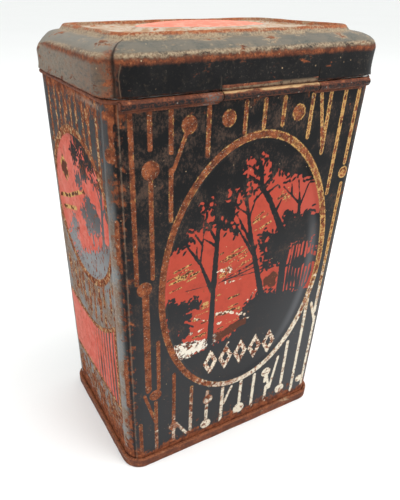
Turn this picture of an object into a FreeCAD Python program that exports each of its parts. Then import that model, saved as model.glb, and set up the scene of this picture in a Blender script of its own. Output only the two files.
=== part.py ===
import FreeCAD, Part
import Sketcher
import math
import os

# Hinged kitchen tin of folded tinplate. +Z is up, +X runs along the long sides and -Y is the
# hinge side. The origin is on the table, under the middle of the body. All sizes are in mm.

SIZES = {
    "tin": 0.3,                  # thickness of the tinplate
    "body_width": 110.0,         # outside the long walls, along X
    "body_depth": 77.0,          # outside the short walls, along Y
    "body_corner": 7.3,          # outer corner radius of the wall
    "wall_foot": 0.5,            # lower end of the wall, inside the bottom seam
    "wall_top": 166.75,          # upper edge of the wall, in the middle of its bead
    "bead_radius": 0.75,         # half-round bead rolled outwards at the wall's upper edge
    "bead_stand": 0.25,          # how far the bead's middle stands outside the wall
    "lap_start": 183.0,          # upright lock seam, in degrees round one hinge-side corner
    "lap_end": 235.5,
    "lap_height": 0.35,
    "lap_foot": 10.0,
    "lap_top": 164.5,
    "long_oval_place": 2.5,      # sunk ovals: the hinge side's is this far to the right
    "long_oval_level": 92.3,
    "long_oval_wide": 39.5,      # half-widths and half-heights
    "long_oval_tall": 58.2,
    "short_oval_level": 120.0,
    "short_oval_wide": 30.5,
    "short_oval_tall": 29.5,
    "oval_depth": 1.1,
    "rim_height": 5.2,           # folded seam round the bottom
    "rim_stand": 1.65,
    "rim_corner": 9.5,
    "rim_wall": 0.9,             # outer leg of the folded seam
    "rim_floor": 0.45,
    "hook_height": 4.2,          # body flange caught in the seam
    "seam_play": 0.05,
    "floor_level": 3.5,          # upper face of the recessed bottom plate
    "collar_foot": 158.0,        # inner neck that the lid shuts over
    "collar_top": 173.3,
    "hem_height": 1.8,
    "hem_stand": 0.35,
    "pin_radius": 1.0,           # hinge wire and the curls rolled round it
    "curl_radius": 1.45,
    "pin_play": 0.02,
    "swing_play": 0.06,
    "wall_play": 0.25,           # gap between the wall and the lid's curl
    "curl_left": 52.0,           # the left body curl starts this far left of the middle
    "curl_split_left": 17.0,     # it ends here, and the lid's curl starts
    "curl_split_right": 24.0,
    "curl_right": 48.5,
    "curl_gap": 0.4,             # end play between neighbouring curls
    "pin_proud": 0.5,
    "lid_stand": 1.6,            # the lid is this much wider than the body on each side
    "lid_corner": 11.3,
    "skirt_foot": 167.7,
    "shoulder_edge": 177.7,      # the skirt ends here, and a steep round starts
    "crown_inset": 2.2,          # measured inwards from the outside of the skirt
    "crown_level": 180.6,        # the round ends here, and the gently sloping shoulder starts
    "step_inset": 8.25,
    "step_foot": 182.3,
    "ridge_outer": 9.2,
    "ridge_inner": 10.4,
    "ridge_top": 184.25,
    "panel_inset": 10.8,
    "panel_level": 182.6,
    "dome_long": 29.0,           # half the length of the raised oval on the panel
    "dome_short": 20.0,
    "dome_rise": 2.6,
    "slit_width": 0.5,           # cuts in the skirt at both ends of the lid's curl
    "slit_height": 4.5,
}

doc = FreeCAD.newDocument("kitchen_tin")
sizes = doc.addObject("Spreadsheet::Sheet", "Sizes")
for row, (word, value) in enumerate(SIZES.items(), start=1):
    sizes.set(f"A{row}", word)
    sizes.set(f"B{row}", str(value))
    sizes.setAlias(f"B{row}", word)
doc.recompute()

# Sizes that follow from the sheet, as expressions
HALF_DEPTH = "Sizes.body_depth / 2"
AXIS_Y = "(Sizes.body_depth / 2 + Sizes.curl_radius + Sizes.wall_play)"    # hinge line, towards -Y
AXIS_Z = "(Sizes.wall_top + Sizes.bead_radius - Sizes.curl_radius)"
CURL_TOP = "(Sizes.wall_top + Sizes.bead_radius)"
LID_WIDTH = "(Sizes.body_width + 2 * Sizes.lid_stand)"
LID_DEPTH = "(Sizes.body_depth + 2 * Sizes.lid_stand)"
LID_HALF = "(Sizes.body_width / 2 + Sizes.lid_stand)"


def value_of(expression):
    """What an expression on the sheet's sizes is worth now, as a plain number."""
    return float(sizes.evalExpression(expression))


def new_body(label):
    body = doc.addObject("PartDesign::Body", label)
    body.Label = label
    return body


def new_sketch(body, name, role="XY_Plane", offset="0"):
    """A sketch on one of the body's own origin planes, moved along that plane's normal."""
    sketch = body.newObject("Sketcher::SketchObject", name)
    plane = next(f for f in body.Origin.OriginFeatures if f.Role == role)
    sketch.AttachmentSupport = [(plane, "")]
    sketch.MapMode = "FlatFace"
    sketch.setExpression("AttachmentOffset.Base.z", offset)
    return sketch


def bind(sketch, name, constraint, expression):
    """Adds a dimension to the sketch and ties it to the sheet."""
    index = sketch.addConstraint(constraint)
    sketch.renameConstraint(index, name)
    sketch.setExpression("Constraints." + name, expression)


def rounded_rectangle(sketch, name, width, depth, corner):
    """A rectangle with round corners, centred on the sketch's origin."""
    w, d, r = value_of(width) / 2, value_of(depth) / 2, value_of(corner)
    first = sketch.GeometryCount
    ends = [((-w + r, -d), (w - r, -d)), ((w, -d + r), (w, d - r)),
            ((w - r, d), (-w + r, d)), ((-w, d - r), (-w, -d + r))]
    for start, end in ends:
        sketch.addGeometry(Part.LineSegment(FreeCAD.Vector(*start, 0), FreeCAD.Vector(*end, 0)))
    centres = [(w - r, -d + r), (w - r, d - r), (-w + r, d - r), (-w + r, -d + r)]
    for turn, centre in enumerate(centres):
        circle = Part.Circle(FreeCAD.Vector(*centre, 0), FreeCAD.Vector(0, 0, 1), r)
        start = (turn - 1) * math.pi / 2
        sketch.addGeometry(Part.ArcOfCircle(circle, start, start + math.pi / 2))
    for side in range(4):
        line, arc, following = first + side, first + 4 + side, first + (side + 1) % 4
        sketch.addConstraint(Sketcher.Constraint("Tangent", line, 2, arc, 1))
        sketch.addConstraint(Sketcher.Constraint("Tangent", arc, 2, following, 1))
        direction = "Horizontal" if side % 2 == 0 else "Vertical"
        sketch.addConstraint(Sketcher.Constraint(direction, line))
    for arc in range(first + 5, first + 8):
        sketch.addConstraint(Sketcher.Constraint("Equal", first + 4, arc))
    sketch.addConstraint(Sketcher.Constraint("Symmetric", first + 5, 3, first + 7, 3, -1, 1))
    across_rule = Sketcher.Constraint("DistanceX", first + 3, 1, first + 1, 1, 2 * w)
    up_rule = Sketcher.Constraint("DistanceY", first, 1, first + 2, 1, 2 * d)
    bind(sketch, name + "_width", across_rule, width)
    bind(sketch, name + "_depth", up_rule, depth)
    bind(sketch, name + "_corner", Sketcher.Constraint("Radius", first + 4, r), corner)


def polygon(sketch, name, corners):
    """A closed outline of straight lines. Each corner is a pair of expressions."""
    points = [FreeCAD.Vector(value_of(a), value_of(b), 0) for a, b in corners]
    first = sketch.GeometryCount
    count = len(points)
    for number, point in enumerate(points):
        sketch.addGeometry(Part.LineSegment(point, points[(number + 1) % count]))
    for number in range(count):
        following = first + (number + 1) % count
        sketch.addConstraint(Sketcher.Constraint("Coincident", first + number, 2, following, 1))
    for number, (across, up) in enumerate(corners):
        line, point = first + number, points[number]
        across_rule = Sketcher.Constraint("DistanceX", -1, 1, line, 1, point.x)
        up_rule = Sketcher.Constraint("DistanceY", -1, 1, line, 1, point.y)
        bind(sketch, f"{name}_across_{number}", across_rule, across)
        bind(sketch, f"{name}_up_{number}", up_rule, up)


def rectangle(sketch, name, low_across, high_across, low_up, high_up):
    polygon(sketch, name, [(low_across, low_up), (high_across, low_up),
                           (high_across, high_up), (low_across, high_up)])


def circle(sketch, name, across, up, radius):
    x, y, r = value_of(across), value_of(up), value_of(radius)
    index = sketch.addGeometry(Part.Circle(FreeCAD.Vector(x, y, 0), FreeCAD.Vector(0, 0, 1), r))
    bind(sketch, name + "_radius", Sketcher.Constraint("Radius", index, r), radius)
    bind(sketch, name + "_across", Sketcher.Constraint("DistanceX", -1, 1, index, 3, x), across)
    bind(sketch, name + "_up", Sketcher.Constraint("DistanceY", -1, 1, index, 3, y), up)


def ellipse(sketch, name, across, up, half_across, half_up):
    """An ellipse with its axes along the sketch's own, with either one the longer."""
    x, y, wide, tall = (value_of(size) for size in (across, up, half_across, half_up))
    centre = FreeCAD.Vector(x, y, 0)
    right, top = FreeCAD.Vector(x + wide, y, 0), FreeCAD.Vector(x, y + tall, 0)
    long_end, short_end = (right, top) if wide > tall else (top, right)
    index = sketch.addGeometry(Part.Ellipse(long_end, short_end, centre))
    sketch.exposeInternalGeometry(index)
    long_axis, short_axis = index + 1, index + 2
    for axis, end in ((long_axis, long_end), (short_axis, short_end)):
        level, kind, half = (("Horizontal", "DistanceX", half_across) if end is right
                             else ("Vertical", "DistanceY", half_up))
        if axis == long_axis:
            sketch.addConstraint(Sketcher.Constraint(level, axis))
        line = sketch.Geometry[axis]
        ends = (1, 2) if (line.EndPoint - line.StartPoint).dot(FreeCAD.Vector(1, 1, 0)) > 0 else (2, 1)
        rule = Sketcher.Constraint(kind, axis, ends[0], axis, ends[1], 2 * value_of(half))
        bind(sketch, f"{name}_{level}_size", rule, f"2 * ({half})")
    bind(sketch, name + "_across", Sketcher.Constraint("DistanceX", -1, 1, index, 3, x), across)
    bind(sketch, name + "_up", Sketcher.Constraint("DistanceY", -1, 1, index, 3, y), up)


def corner_strip(sketch, name, across, up, inner, outer, start, end):
    """Part of a flat ring round a corner's centre, between two angles in degrees."""
    x, y = value_of(across), value_of(up)
    angles = [math.radians(value_of(turn)) for turn in (start, end)]
    centre = FreeCAD.Vector(x, y, 0)
    arcs = []
    for radius in (inner, outer):
        whole = Part.Circle(centre, FreeCAD.Vector(0, 0, 1), value_of(radius))
        arcs.append(sketch.addGeometry(Part.ArcOfCircle(whole, *angles)))
        bind(sketch, f"{name}_radius_{len(arcs)}",
             Sketcher.Constraint("Radius", arcs[-1], value_of(radius)), radius)
    sketch.addConstraint(Sketcher.Constraint("Coincident", arcs[0], 3, arcs[1], 3))
    for number, (angle, turn) in enumerate(zip(angles, (start, end)), start=1):
        ray = FreeCAD.Vector(math.cos(angle), math.sin(angle), 0)
        low, high = centre + ray * value_of(inner), centre + ray * value_of(outer)
        line = sketch.addGeometry(Part.LineSegment(low, high))
        sketch.addConstraint(Sketcher.Constraint("Coincident", line, 1, arcs[0], number))
        sketch.addConstraint(Sketcher.Constraint("Coincident", line, 2, arcs[1], number))
        sketch.addConstraint(Sketcher.Constraint("PointOnObject", arcs[0], 3, line))
        turn_rule = Sketcher.Constraint("Angle", line, angle)
        bind(sketch, f"{name}_turn_{number}", turn_rule, f"({turn}) * 1 deg")
    bind(sketch, name + "_across", Sketcher.Constraint("DistanceX", -1, 1, arcs[0], 3, x), across)
    bind(sketch, name + "_up", Sketcher.Constraint("DistanceY", -1, 1, arcs[0], 3, y), up)


def pad(body, name, sketch, length):
    feature = body.newObject("PartDesign::Pad", name)
    feature.Profile = sketch
    feature.setExpression("Length", length)
    return feature


def pocket(body, name, sketch, length, reverse=True):
    """Cuts from the sketch towards its plane's normal, and checks that it did cut."""
    doc.recompute()
    before = body.Shape.Volume
    feature = body.newObject("PartDesign::Pocket", name)
    feature.Profile = sketch
    feature.Reversed = reverse
    feature.setExpression("Length", length)
    doc.recompute()
    if before - body.Shape.Volume < 1e-3:
        raise RuntimeError(f"{name} cut nothing")
    return feature


def ring(body, name, width, depth, corner, thickness, foot, top):
    """An upright wall round a rounded rectangle. The sizes given are those of its outside."""
    sketch = new_sketch(body, name + "_plan", "XY_Plane", foot)
    rounded_rectangle(sketch, "outer", width, depth, corner)
    rounded_rectangle(sketch, "inner", f"{width} - 2 * {thickness}", f"{depth} - 2 * {thickness}",
                      f"{corner} - {thickness}")
    return pad(body, name, sketch, f"{top} - {foot}")


def plate(body, name, width, depth, corner, foot, top):
    sketch = new_sketch(body, name + "_plan", "XY_Plane", foot)
    rounded_rectangle(sketch, "outer", width, depth, corner)
    return pad(body, name, sketch, f"{top} - {foot}")


def swept(body, name, profile, width, depth, corner):
    """The profile carried once round a rounded rectangle on the XY plane."""
    path = new_sketch(body, name + "_path")
    rounded_rectangle(path, "path", width, depth, corner)
    feature = body.newObject("PartDesign::AdditivePipe", name)
    feature.Profile = profile
    feature.Spine = (path, [f"Edge{number}" for number in range(1, 9)])
    feature.Mode = "Frenet"
    return feature


def curl(body, name, start, end, bore):
    """A tube rolled round the hinge line, from start to end along X."""
    round_stock = new_sketch(body, name + "_section", "YZ_Plane", start)
    circle(round_stock, "curl", "-" + AXIS_Y, AXIS_Z, "Sizes.curl_radius")
    pad(body, name, round_stock, f"{end} - ({start})")
    hole = new_sketch(body, name + "_bore_section", "YZ_Plane", start)
    circle(hole, "bore", "-" + AXIS_Y, AXIS_Z, bore)
    pocket(body, name + "_bore", hole, f"{end} - ({start})")


def sunk_oval(body, name, role, face, faces_normal, across, up, half_across, half_up):
    """Presses an oval into a wall whose outer face lies at face, along the plane's normal.

    A block is added behind the wall, and all of it but one thickness of tin is cut away."""
    tin, depth = "Sizes.tin", "Sizes.oval_depth"
    block_start = f"{face} - {depth} - {tin}" if faces_normal else face
    cut_start = f"{face} - {depth}" if faces_normal else face
    block = new_sketch(body, name + "_back_section", role, block_start)
    ellipse(block, "oval", across, up, half_across, half_up)
    pad(body, name + "_back", block, f"{depth} + {tin}")
    hollow = new_sketch(body, name + "_section", role, cut_start)
    ellipse(hollow, "oval", across, up, f"{half_across} - {tin}", f"{half_up} - {tin}")
    pocket(body, name, hollow, depth)


def make_body_sheet():
    """The printed wall: one sheet with a lock seam, an upper bead and two hinge curls."""
    body = new_body("body_sheet")
    width, depth = "Sizes.body_width", "Sizes.body_depth"
    corner, tin = "Sizes.body_corner", "Sizes.tin"
    ring(body, "wall", width, depth, corner, tin, "Sizes.wall_foot", "Sizes.wall_top")
    hook_reach = "(Sizes.rim_stand - Sizes.rim_wall - Sizes.seam_play)"
    hook_corner = "(Sizes.rim_corner - Sizes.rim_wall - Sizes.seam_play)"
    ring(body, "seam_hook", f"({width} + 2 * {hook_reach})", f"({depth} + 2 * {hook_reach})",
         hook_corner, f"({hook_reach} + {tin} / 2)", "Sizes.wall_foot",
         "(Sizes.wall_foot + Sizes.hook_height)")

    bead_section = new_sketch(body, "bead_section", "XZ_Plane")
    circle(bead_section, "bead", f"{width} / 2 + Sizes.bead_stand", "Sizes.wall_top",
           "Sizes.bead_radius")
    swept(body, "bead", bead_section, f"{width} + 2 * Sizes.bead_stand",
          f"{depth} + 2 * Sizes.bead_stand", f"{corner} + Sizes.bead_stand")
    inner_face = f"({HALF_DEPTH} - {tin})"
    below_bead = "Sizes.wall_top - 2 * Sizes.bead_radius"
    inner_trim = new_sketch(body, "bead_inner_plan", "XY_Plane", below_bead)
    rounded_rectangle(inner_trim, "inner", f"{width} - 2 * {tin}", f"{depth} - 2 * {tin}",
                      f"{corner} - {tin}")
    pocket(body, "bead_inner_trim", inner_trim, "4 * Sizes.bead_radius")
    hinge_trim = new_sketch(body, "bead_hinge_plan", "XY_Plane", below_bead)
    rectangle(hinge_trim, "hinge", f"-({width} / 2 - {corner})", f"{width} / 2 - {corner}",
              f"-({HALF_DEPTH} + 2)", f"-{HALF_DEPTH}")
    pocket(body, "bead_hinge_trim", hinge_trim, "4 * Sizes.bead_radius")

    lap = new_sketch(body, "lock_seam_plan", "XY_Plane", "Sizes.lap_foot")
    corner_strip(lap, "lap", f"-({width} / 2 - {corner})", f"-({HALF_DEPTH} - {corner})",
                 f"{corner} - {tin} / 2", f"{corner} + Sizes.lap_height",
                 "Sizes.lap_start", "Sizes.lap_end")
    pad(body, "lock_seam", lap, "Sizes.lap_top - Sizes.lap_foot")

    long_oval = ("Sizes.long_oval_level", "Sizes.long_oval_wide", "Sizes.long_oval_tall")
    short_oval = ("Sizes.short_oval_level", "Sizes.short_oval_wide", "Sizes.short_oval_tall")
    sunk_oval(body, "hinge_side_oval", "XZ_Plane", HALF_DEPTH, True,
              "Sizes.long_oval_place", *long_oval)
    sunk_oval(body, "opening_side_oval", "XZ_Plane", f"-{HALF_DEPTH}", False, "0", *long_oval)
    sunk_oval(body, "left_oval", "YZ_Plane", f"-{width} / 2", False, "0", *short_oval)
    sunk_oval(body, "right_oval", "YZ_Plane", f"{width} / 2", True, "0", *short_oval)

    spans = {"left_curl": ("-Sizes.curl_left", "-Sizes.curl_split_left"),
             "right_curl": ("Sizes.curl_split_right", "Sizes.curl_right")}
    for name, (start, end) in spans.items():
        fold = new_sketch(body, name + "_fold_section", "YZ_Plane", start)
        fold_foot = "Sizes.wall_top - Sizes.curl_radius"
        polygon(fold, "fold", [(f"-{inner_face}", fold_foot), (f"-{inner_face}", CURL_TOP),
                               (f"-{AXIS_Y}", CURL_TOP), (f"-{AXIS_Y}", f"{CURL_TOP} - {tin}"),
                               (f"-{HALF_DEPTH}", f"{CURL_TOP} - {tin}"),
                               (f"-{HALF_DEPTH}", fold_foot)])
        pad(body, name + "_fold", fold, f"{end} - ({start})")
        curl(body, name, start, end, "(Sizes.pin_radius + Sizes.pin_play)")
    return body


def make_bottom_end():
    """The recessed bottom plate, folded round the wall's foot in a double seam."""
    body = new_body("bottom_end")
    tin, play = "Sizes.tin", "Sizes.seam_play"
    seam_width = "(Sizes.body_width + 2 * Sizes.rim_stand)"
    seam_depth = "(Sizes.body_depth + 2 * Sizes.rim_stand)"
    inside = f"2 * ({tin} + {play})"
    well_width, well_depth = f"(Sizes.body_width - {inside})", f"(Sizes.body_depth - {inside})"
    well_corner = f"(Sizes.body_corner - {tin} - {play})"
    foot_face = f"(Sizes.rim_stand + {tin} + {play} + {tin})"
    ring(body, "seam_leg", seam_width, seam_depth, "Sizes.rim_corner", "Sizes.rim_wall",
         "0", "Sizes.rim_height")
    ring(body, "seam_fold", seam_width, seam_depth, "Sizes.rim_corner", foot_face, "0", "Sizes.rim_floor")
    ring(body, "seam_lip", seam_width, seam_depth, "Sizes.rim_corner",
         f"(Sizes.rim_stand - 2 * {play})", f"(Sizes.wall_foot + Sizes.hook_height + {play})",
         "Sizes.rim_height")
    ring(body, "well", well_width, well_depth, well_corner, tin, "0", "Sizes.floor_level")
    plate(body, "floor", well_width, well_depth, well_corner, f"(Sizes.floor_level - {tin})",
          "Sizes.floor_level")
    return body


def make_neck_collar():
    """The inner neck, held inside the wall, with a hem at its upper edge."""
    body = new_body("neck_collar")
    inside = "2 * (Sizes.tin + Sizes.seam_play)"
    width, depth = f"(Sizes.body_width - {inside})", f"(Sizes.body_depth - {inside})"
    corner = "(Sizes.body_corner - Sizes.tin - Sizes.seam_play)"
    ring(body, "neck", width, depth, corner, "Sizes.tin", "Sizes.collar_foot", "Sizes.collar_top")
    ring(body, "hem", width, depth, corner, "(Sizes.tin + Sizes.hem_stand)",
         "(Sizes.collar_top - Sizes.hem_height)", "Sizes.collar_top")
    return body


def make_lid_shell():
    """The pressed lid: skirt, shoulder, ridge, sunk panel with a raised oval, and its hinge curl."""
    body = new_body("lid_shell")
    tin = "Sizes.tin"
    panel = new_sketch(body, "panel_plan", "XY_Plane", f"Sizes.panel_level - {tin}")
    overlap = f"({tin} / 2)"
    rounded_rectangle(panel, "panel", f"{LID_WIDTH} - 2 * (Sizes.panel_inset - {overlap})",
                      f"{LID_DEPTH} - 2 * (Sizes.panel_inset - {overlap})",
                      f"Sizes.lid_corner - Sizes.panel_inset + {overlap}")
    pad(body, "panel", panel, tin)

    section = new_sketch(body, "lid_section", "XZ_Plane")
    outline = [("0", "Sizes.skirt_foot"), ("0", "Sizes.shoulder_edge"),
               ("Sizes.crown_inset", "Sizes.crown_level"), ("Sizes.step_inset", "Sizes.step_foot"),
               ("Sizes.ridge_outer", "Sizes.ridge_top"), ("Sizes.ridge_inner", "Sizes.ridge_top"),
               ("Sizes.panel_inset", "Sizes.panel_level"),
               ("Sizes.panel_inset", f"Sizes.panel_level - {tin}"),
               (f"Sizes.panel_inset - {tin}", f"Sizes.panel_level - {tin}"),
               (f"Sizes.ridge_inner - {tin}", f"Sizes.ridge_top - {tin}"),
               (f"Sizes.ridge_outer + {tin}", f"Sizes.ridge_top - {tin}"),
               (f"Sizes.step_inset + {tin}", f"Sizes.step_foot - {tin}"),
               (f"Sizes.crown_inset + {tin} / 2", f"Sizes.crown_level - {tin}"),
               (tin, f"Sizes.shoulder_edge - {tin} / 2"), (tin, "Sizes.skirt_foot")]
    polygon(section, "sheet", [(f"{LID_HALF} - ({inset})", level) for inset, level in outline])
    swept(body, "pressing", section, LID_WIDTH, LID_DEPTH, "Sizes.lid_corner")

    start = "-(Sizes.curl_split_left - Sizes.curl_gap)"
    end = "(Sizes.curl_split_right - Sizes.curl_gap)"
    skirt_face = f"({HALF_DEPTH} + Sizes.lid_stand)"
    tongue = new_sketch(body, "tongue_section", "YZ_Plane", start)
    rectangle(tongue, "tongue", f"-{skirt_face}", f"-({skirt_face} - {tin})", f"{CURL_TOP} - {tin}",
              "Sizes.skirt_foot + 1")
    pad(body, "tongue", tongue, f"{end} - ({start})")
    curl(body, "lid_curl", start, end, "(Sizes.pin_radius + Sizes.swing_play)")
    left_cut = "-(Sizes.curl_split_left + Sizes.slit_width - Sizes.curl_gap)"
    for name, place in (("left_slit", left_cut), ("right_slit", end)):
        cut = new_sketch(body, name + "_section", "YZ_Plane", place)
        rectangle(cut, "slit", f"-({skirt_face} + 1)", f"-({skirt_face} - 1)",
                  "Sizes.skirt_foot - 1", "Sizes.skirt_foot + Sizes.slit_height")
        pocket(body, name, cut, "Sizes.slit_width")

    for kind, name, thinner in (("AdditiveEllipsoid", "oval", "0"),
                                ("SubtractiveEllipsoid", "oval_hollow", tin)):
        dome = body.newObject("PartDesign::" + kind, name)
        dome.Angle1 = 0                       # the upper half alone
        dome.setExpression("Radius1", f"Sizes.dome_rise + {tin} - {thinner}")
        dome.setExpression("Radius2", f"Sizes.dome_long - {thinner}")
        dome.setExpression("Radius3", f"Sizes.dome_short - {thinner}")
        dome.setExpression("Placement.Base.z", f"Sizes.panel_level - {tin}")
    return body


def make_hinge_wire():
    """The wire that the three curls are rolled round."""
    body = new_body("hinge_wire")
    start, end = "-(Sizes.curl_left + Sizes.pin_proud)", "(Sizes.curl_right + Sizes.pin_proud)"
    section = new_sketch(body, "wire_section", "YZ_Plane", start)
    circle(section, "wire", "-" + AXIS_Y, AXIS_Z, "Sizes.pin_radius")
    pad(body, "wire", section, f"{end} - ({start})")
    return body


parts = [make_body_sheet(), make_bottom_end(), make_neck_collar(), make_lid_shell(), make_hinge_wire()]
doc.recompute()

for thing in doc.Objects:
    if "Invalid" in thing.State or "Error" in thing.State:
        raise RuntimeError(f"{thing.Name} did not build: {thing.State}")

os.makedirs("parts", exist_ok=True)
for part in parts:
    shape = part.Shape
    if shape.isNull() or not shape.isValid():
        raise RuntimeError(f"{part.Label} has no valid shape")
    print(part.Label, len(shape.Solids), "solid,", round(shape.Volume, 1), "mm3, from",
          round(shape.BoundBox.ZMin, 2), "to", round(shape.BoundBox.ZMax, 2))
    shape.exportStep(f"parts/{part.Label}.step")
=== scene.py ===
import math

import bpy
import numpy as np
from mathutils import Matrix, Vector


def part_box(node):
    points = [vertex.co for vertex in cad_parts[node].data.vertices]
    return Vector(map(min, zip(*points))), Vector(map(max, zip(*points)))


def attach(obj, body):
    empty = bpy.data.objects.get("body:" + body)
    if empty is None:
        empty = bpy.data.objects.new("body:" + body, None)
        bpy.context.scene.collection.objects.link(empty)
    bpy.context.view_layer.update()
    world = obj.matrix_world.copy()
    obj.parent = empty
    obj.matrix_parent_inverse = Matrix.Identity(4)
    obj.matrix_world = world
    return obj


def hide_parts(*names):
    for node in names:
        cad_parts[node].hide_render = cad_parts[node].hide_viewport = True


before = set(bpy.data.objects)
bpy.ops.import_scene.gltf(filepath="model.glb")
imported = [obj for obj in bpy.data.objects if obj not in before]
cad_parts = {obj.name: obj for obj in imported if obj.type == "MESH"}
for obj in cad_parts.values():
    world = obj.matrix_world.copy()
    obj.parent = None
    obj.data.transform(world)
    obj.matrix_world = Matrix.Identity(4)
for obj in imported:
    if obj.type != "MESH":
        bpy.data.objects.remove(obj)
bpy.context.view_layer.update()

# A hinged tin canister of printed tinplate. Shapes are worked out in millimetres, with +Z up and
# the hinge side towards -Y, and go into the meshes in metres.
MM = 0.001


def corners_of(node):
    """Lowest and highest corner of a CAD node, in millimetres."""
    low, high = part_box(node)
    return np.array(low) / MM, np.array(high) / MM


seam_low, seam_high = corners_of("bottom_end")
lid_low, lid_high = corners_of("lid_shell")
wire_low, wire_high = corners_of("hinge_wire")

TIN = 0.3                                   # thickness of the tinplate
RIM_STAND = 1.65                            # the bottom seam stands this far outside the wall
RIM_HEIGHT = seam_high[2]
PLATE_HEIGHT = 3.5                          # the bottom plate lies this far over the seam's foot
WALL_X = seam_high[0] - RIM_STAND           # outside of the wall, from the middle
WALL_Y = seam_high[1] - RIM_STAND
WALL_CORNER = 7.3
WALL_FOOT = 1.2                             # hidden in the bottom seam
PIN_Y = (wire_low[1] + wire_high[1]) / 2    # hinge line
PIN_Z = (wire_low[2] + wire_high[2]) / 2
CURL_RADIUS = PIN_Y - lid_low[1]            # outside of the rolled curls
CURL_TOP = PIN_Z + CURL_RADIUS
WALL_TOP = CURL_TOP - 0.75
LID_X, LID_Y, LID_TOP = lid_high
LID_CORNER = 11.3
SKIRT_FOOT = CURL_TOP + 0.2
SHOULDER = 177.7                            # upper end of the skirt's upright part
FLAT_X = WALL_X - WALL_CORNER               # half-lengths of the wall's flat parts
FLAT_Y = WALL_Y - WALL_CORNER
ARC = WALL_CORNER * math.pi / 2             # length of the wall's corner
HALF_ROUND = 2 * (FLAT_X + FLAT_Y + ARC)    # half the length of the whole wall
CURL_LEFT, CURL_RIGHT = wire_low[0] + 0.5, wire_high[0] - 0.5
SPLIT_LEFT, SPLIT_RIGHT = -17.0, 24.0       # the lid's curl lies between these
CURL_GAP = 0.4


# Shapes

def smooth(low, high, value):
    """0 before low, 1 beyond high and the cubic 3t^2 - 2t^3 between them."""
    share = np.clip((value - low) / (high - low), 0, 1)
    return share * share * (3 - 2 * share)


def cloud(across, up, cell, seed):
    """Smooth random field from 0 to 1: lattice values, cell mm apart, joined by the cubic of smooth()."""
    lattice = np.random.default_rng(seed).random((128, 128))
    place = [np.asarray(across) / cell + 64, np.asarray(up) / cell + 64]
    whole = [np.floor(part).astype(int) for part in place]
    share = [smooth(0, 1, part - base) for part, base in zip(place, whole)]
    column, row = (base % 128 for base in whole)
    following, above = (column + 1) % 128, (row + 1) % 128
    lower = lattice[column, row] * (1 - share[0]) + lattice[following, row] * share[0]
    upper = lattice[column, above] * (1 - share[0]) + lattice[following, above] * share[0]
    return lower * (1 - share[1]) + upper * share[1]


def track(along, half_x, half_y, corner):
    """Rounded rectangle by its arc length, 0 at the middle of the hinge side, counter-clockwise.

    Gives the place along both flats, each from -1 to 1, and the angle that the outline faces; all
    three are straight-line functions of the length between the ends of the flats and arcs."""
    flat_x, flat_y, arc = half_x - corner, half_y - corner, corner * math.pi / 2
    lengths = [2 * flat_x, arc, 2 * flat_y, arc, 2 * flat_x, arc, 2 * flat_y, arc]
    knots = np.concatenate([[0], np.cumsum(lengths)]) - flat_x
    along = (np.asarray(along, float) - knots[0]) % (knots[-1] - knots[0]) + knots[0]
    on_x = np.interp(along, knots, [-1, 1, 1, 1, 1, -1, -1, -1, -1])
    on_y = np.interp(along, knots, [-1, -1, -1, 1, 1, 1, 1, -1, -1])
    facing = np.interp(along, knots, np.radians([-90, -90, 0, 0, 90, 90, 180, 180, 270]))
    return on_x, on_y, facing


def outline_points(place, half_x, half_y, corner, up):
    """Points of a rounded rectangle: its corner's centre plus the corner radius along the facing."""
    on_x, on_y, facing = place
    x = on_x * (half_x - corner) + corner * np.cos(facing)
    y = on_y * (half_y - corner) + corner * np.sin(facing)
    return np.stack(np.broadcast_arrays(x, y, up), axis=-1)


def wall_points(along, outset, up):
    """Points outset mm outside the wall, at the length along it and the height up."""
    on_x, on_y, facing = track(along, WALL_X, WALL_Y, WALL_CORNER)
    reach = WALL_CORNER + outset
    x = on_x * FLAT_X + reach * np.cos(facing)
    y = on_y * FLAT_Y + reach * np.sin(facing)
    return np.stack(np.broadcast_arrays(x, y, up), axis=-1)


def put_mesh(name, points, groups, finishes, body, nodes=(), fields=None):
    """A piece from its points in mm and groups of equal-sided polygons.

    Each group is (corner numbers, finish number, smooth or not), and fields are numbers per point."""
    mesh = bpy.data.meshes.new(name)
    mesh.vertices.add(len(points))
    mesh.vertices.foreach_set("co", (points * MM).astype(np.float32).ravel())
    sides = np.concatenate([np.full(len(faces), faces.shape[1]) for faces, _, _ in groups])
    mesh.loops.add(int(sides.sum()))
    mesh.loops.foreach_set("vertex_index", np.concatenate([faces.ravel() for faces, _, _ in groups]))
    mesh.polygons.add(len(sides))
    mesh.polygons.foreach_set("loop_start", np.concatenate([[0], np.cumsum(sides)[:-1]]))
    mesh.polygons.foreach_set("loop_total", sides)
    for data, part in (("material_index", 1), ("use_smooth", 2)):
        values = np.concatenate([np.full(len(group[0]), group[part]) for group in groups])
        mesh.polygons.foreach_set(data, values)
    for finish in finishes:
        mesh.materials.append(finish)
    for field, values in (fields or {}).items():
        attribute = mesh.attributes.new(field, "FLOAT", "POINT")
        attribute.data.foreach_set("value", values.astype(np.float32).ravel())
    mesh.update(calc_edges=True)
    mesh.validate()
    piece = bpy.data.objects.new(name, mesh)
    bpy.context.scene.collection.objects.link(piece)
    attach(piece, body)
    if nodes:
        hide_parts(*nodes)
    return piece


def quads(count_along, count_up, first=0, closed=False, flipped=False):
    """Corner numbers of a grid's squares, for points stored along-major. A closed grid joins its ends."""
    numbers = first + np.arange(count_along * count_up).reshape(count_along, count_up)
    here = numbers if closed else numbers[:-1]
    following = np.roll(numbers, -1, axis=0) if closed else numbers[1:]
    faces = np.stack([here[:, :-1], following[:, :-1], following[:, 1:], here[:, 1:]], axis=-1)
    faces = faces.reshape(-1, 4)
    return faces[:, ::-1] if flipped else faces


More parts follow.
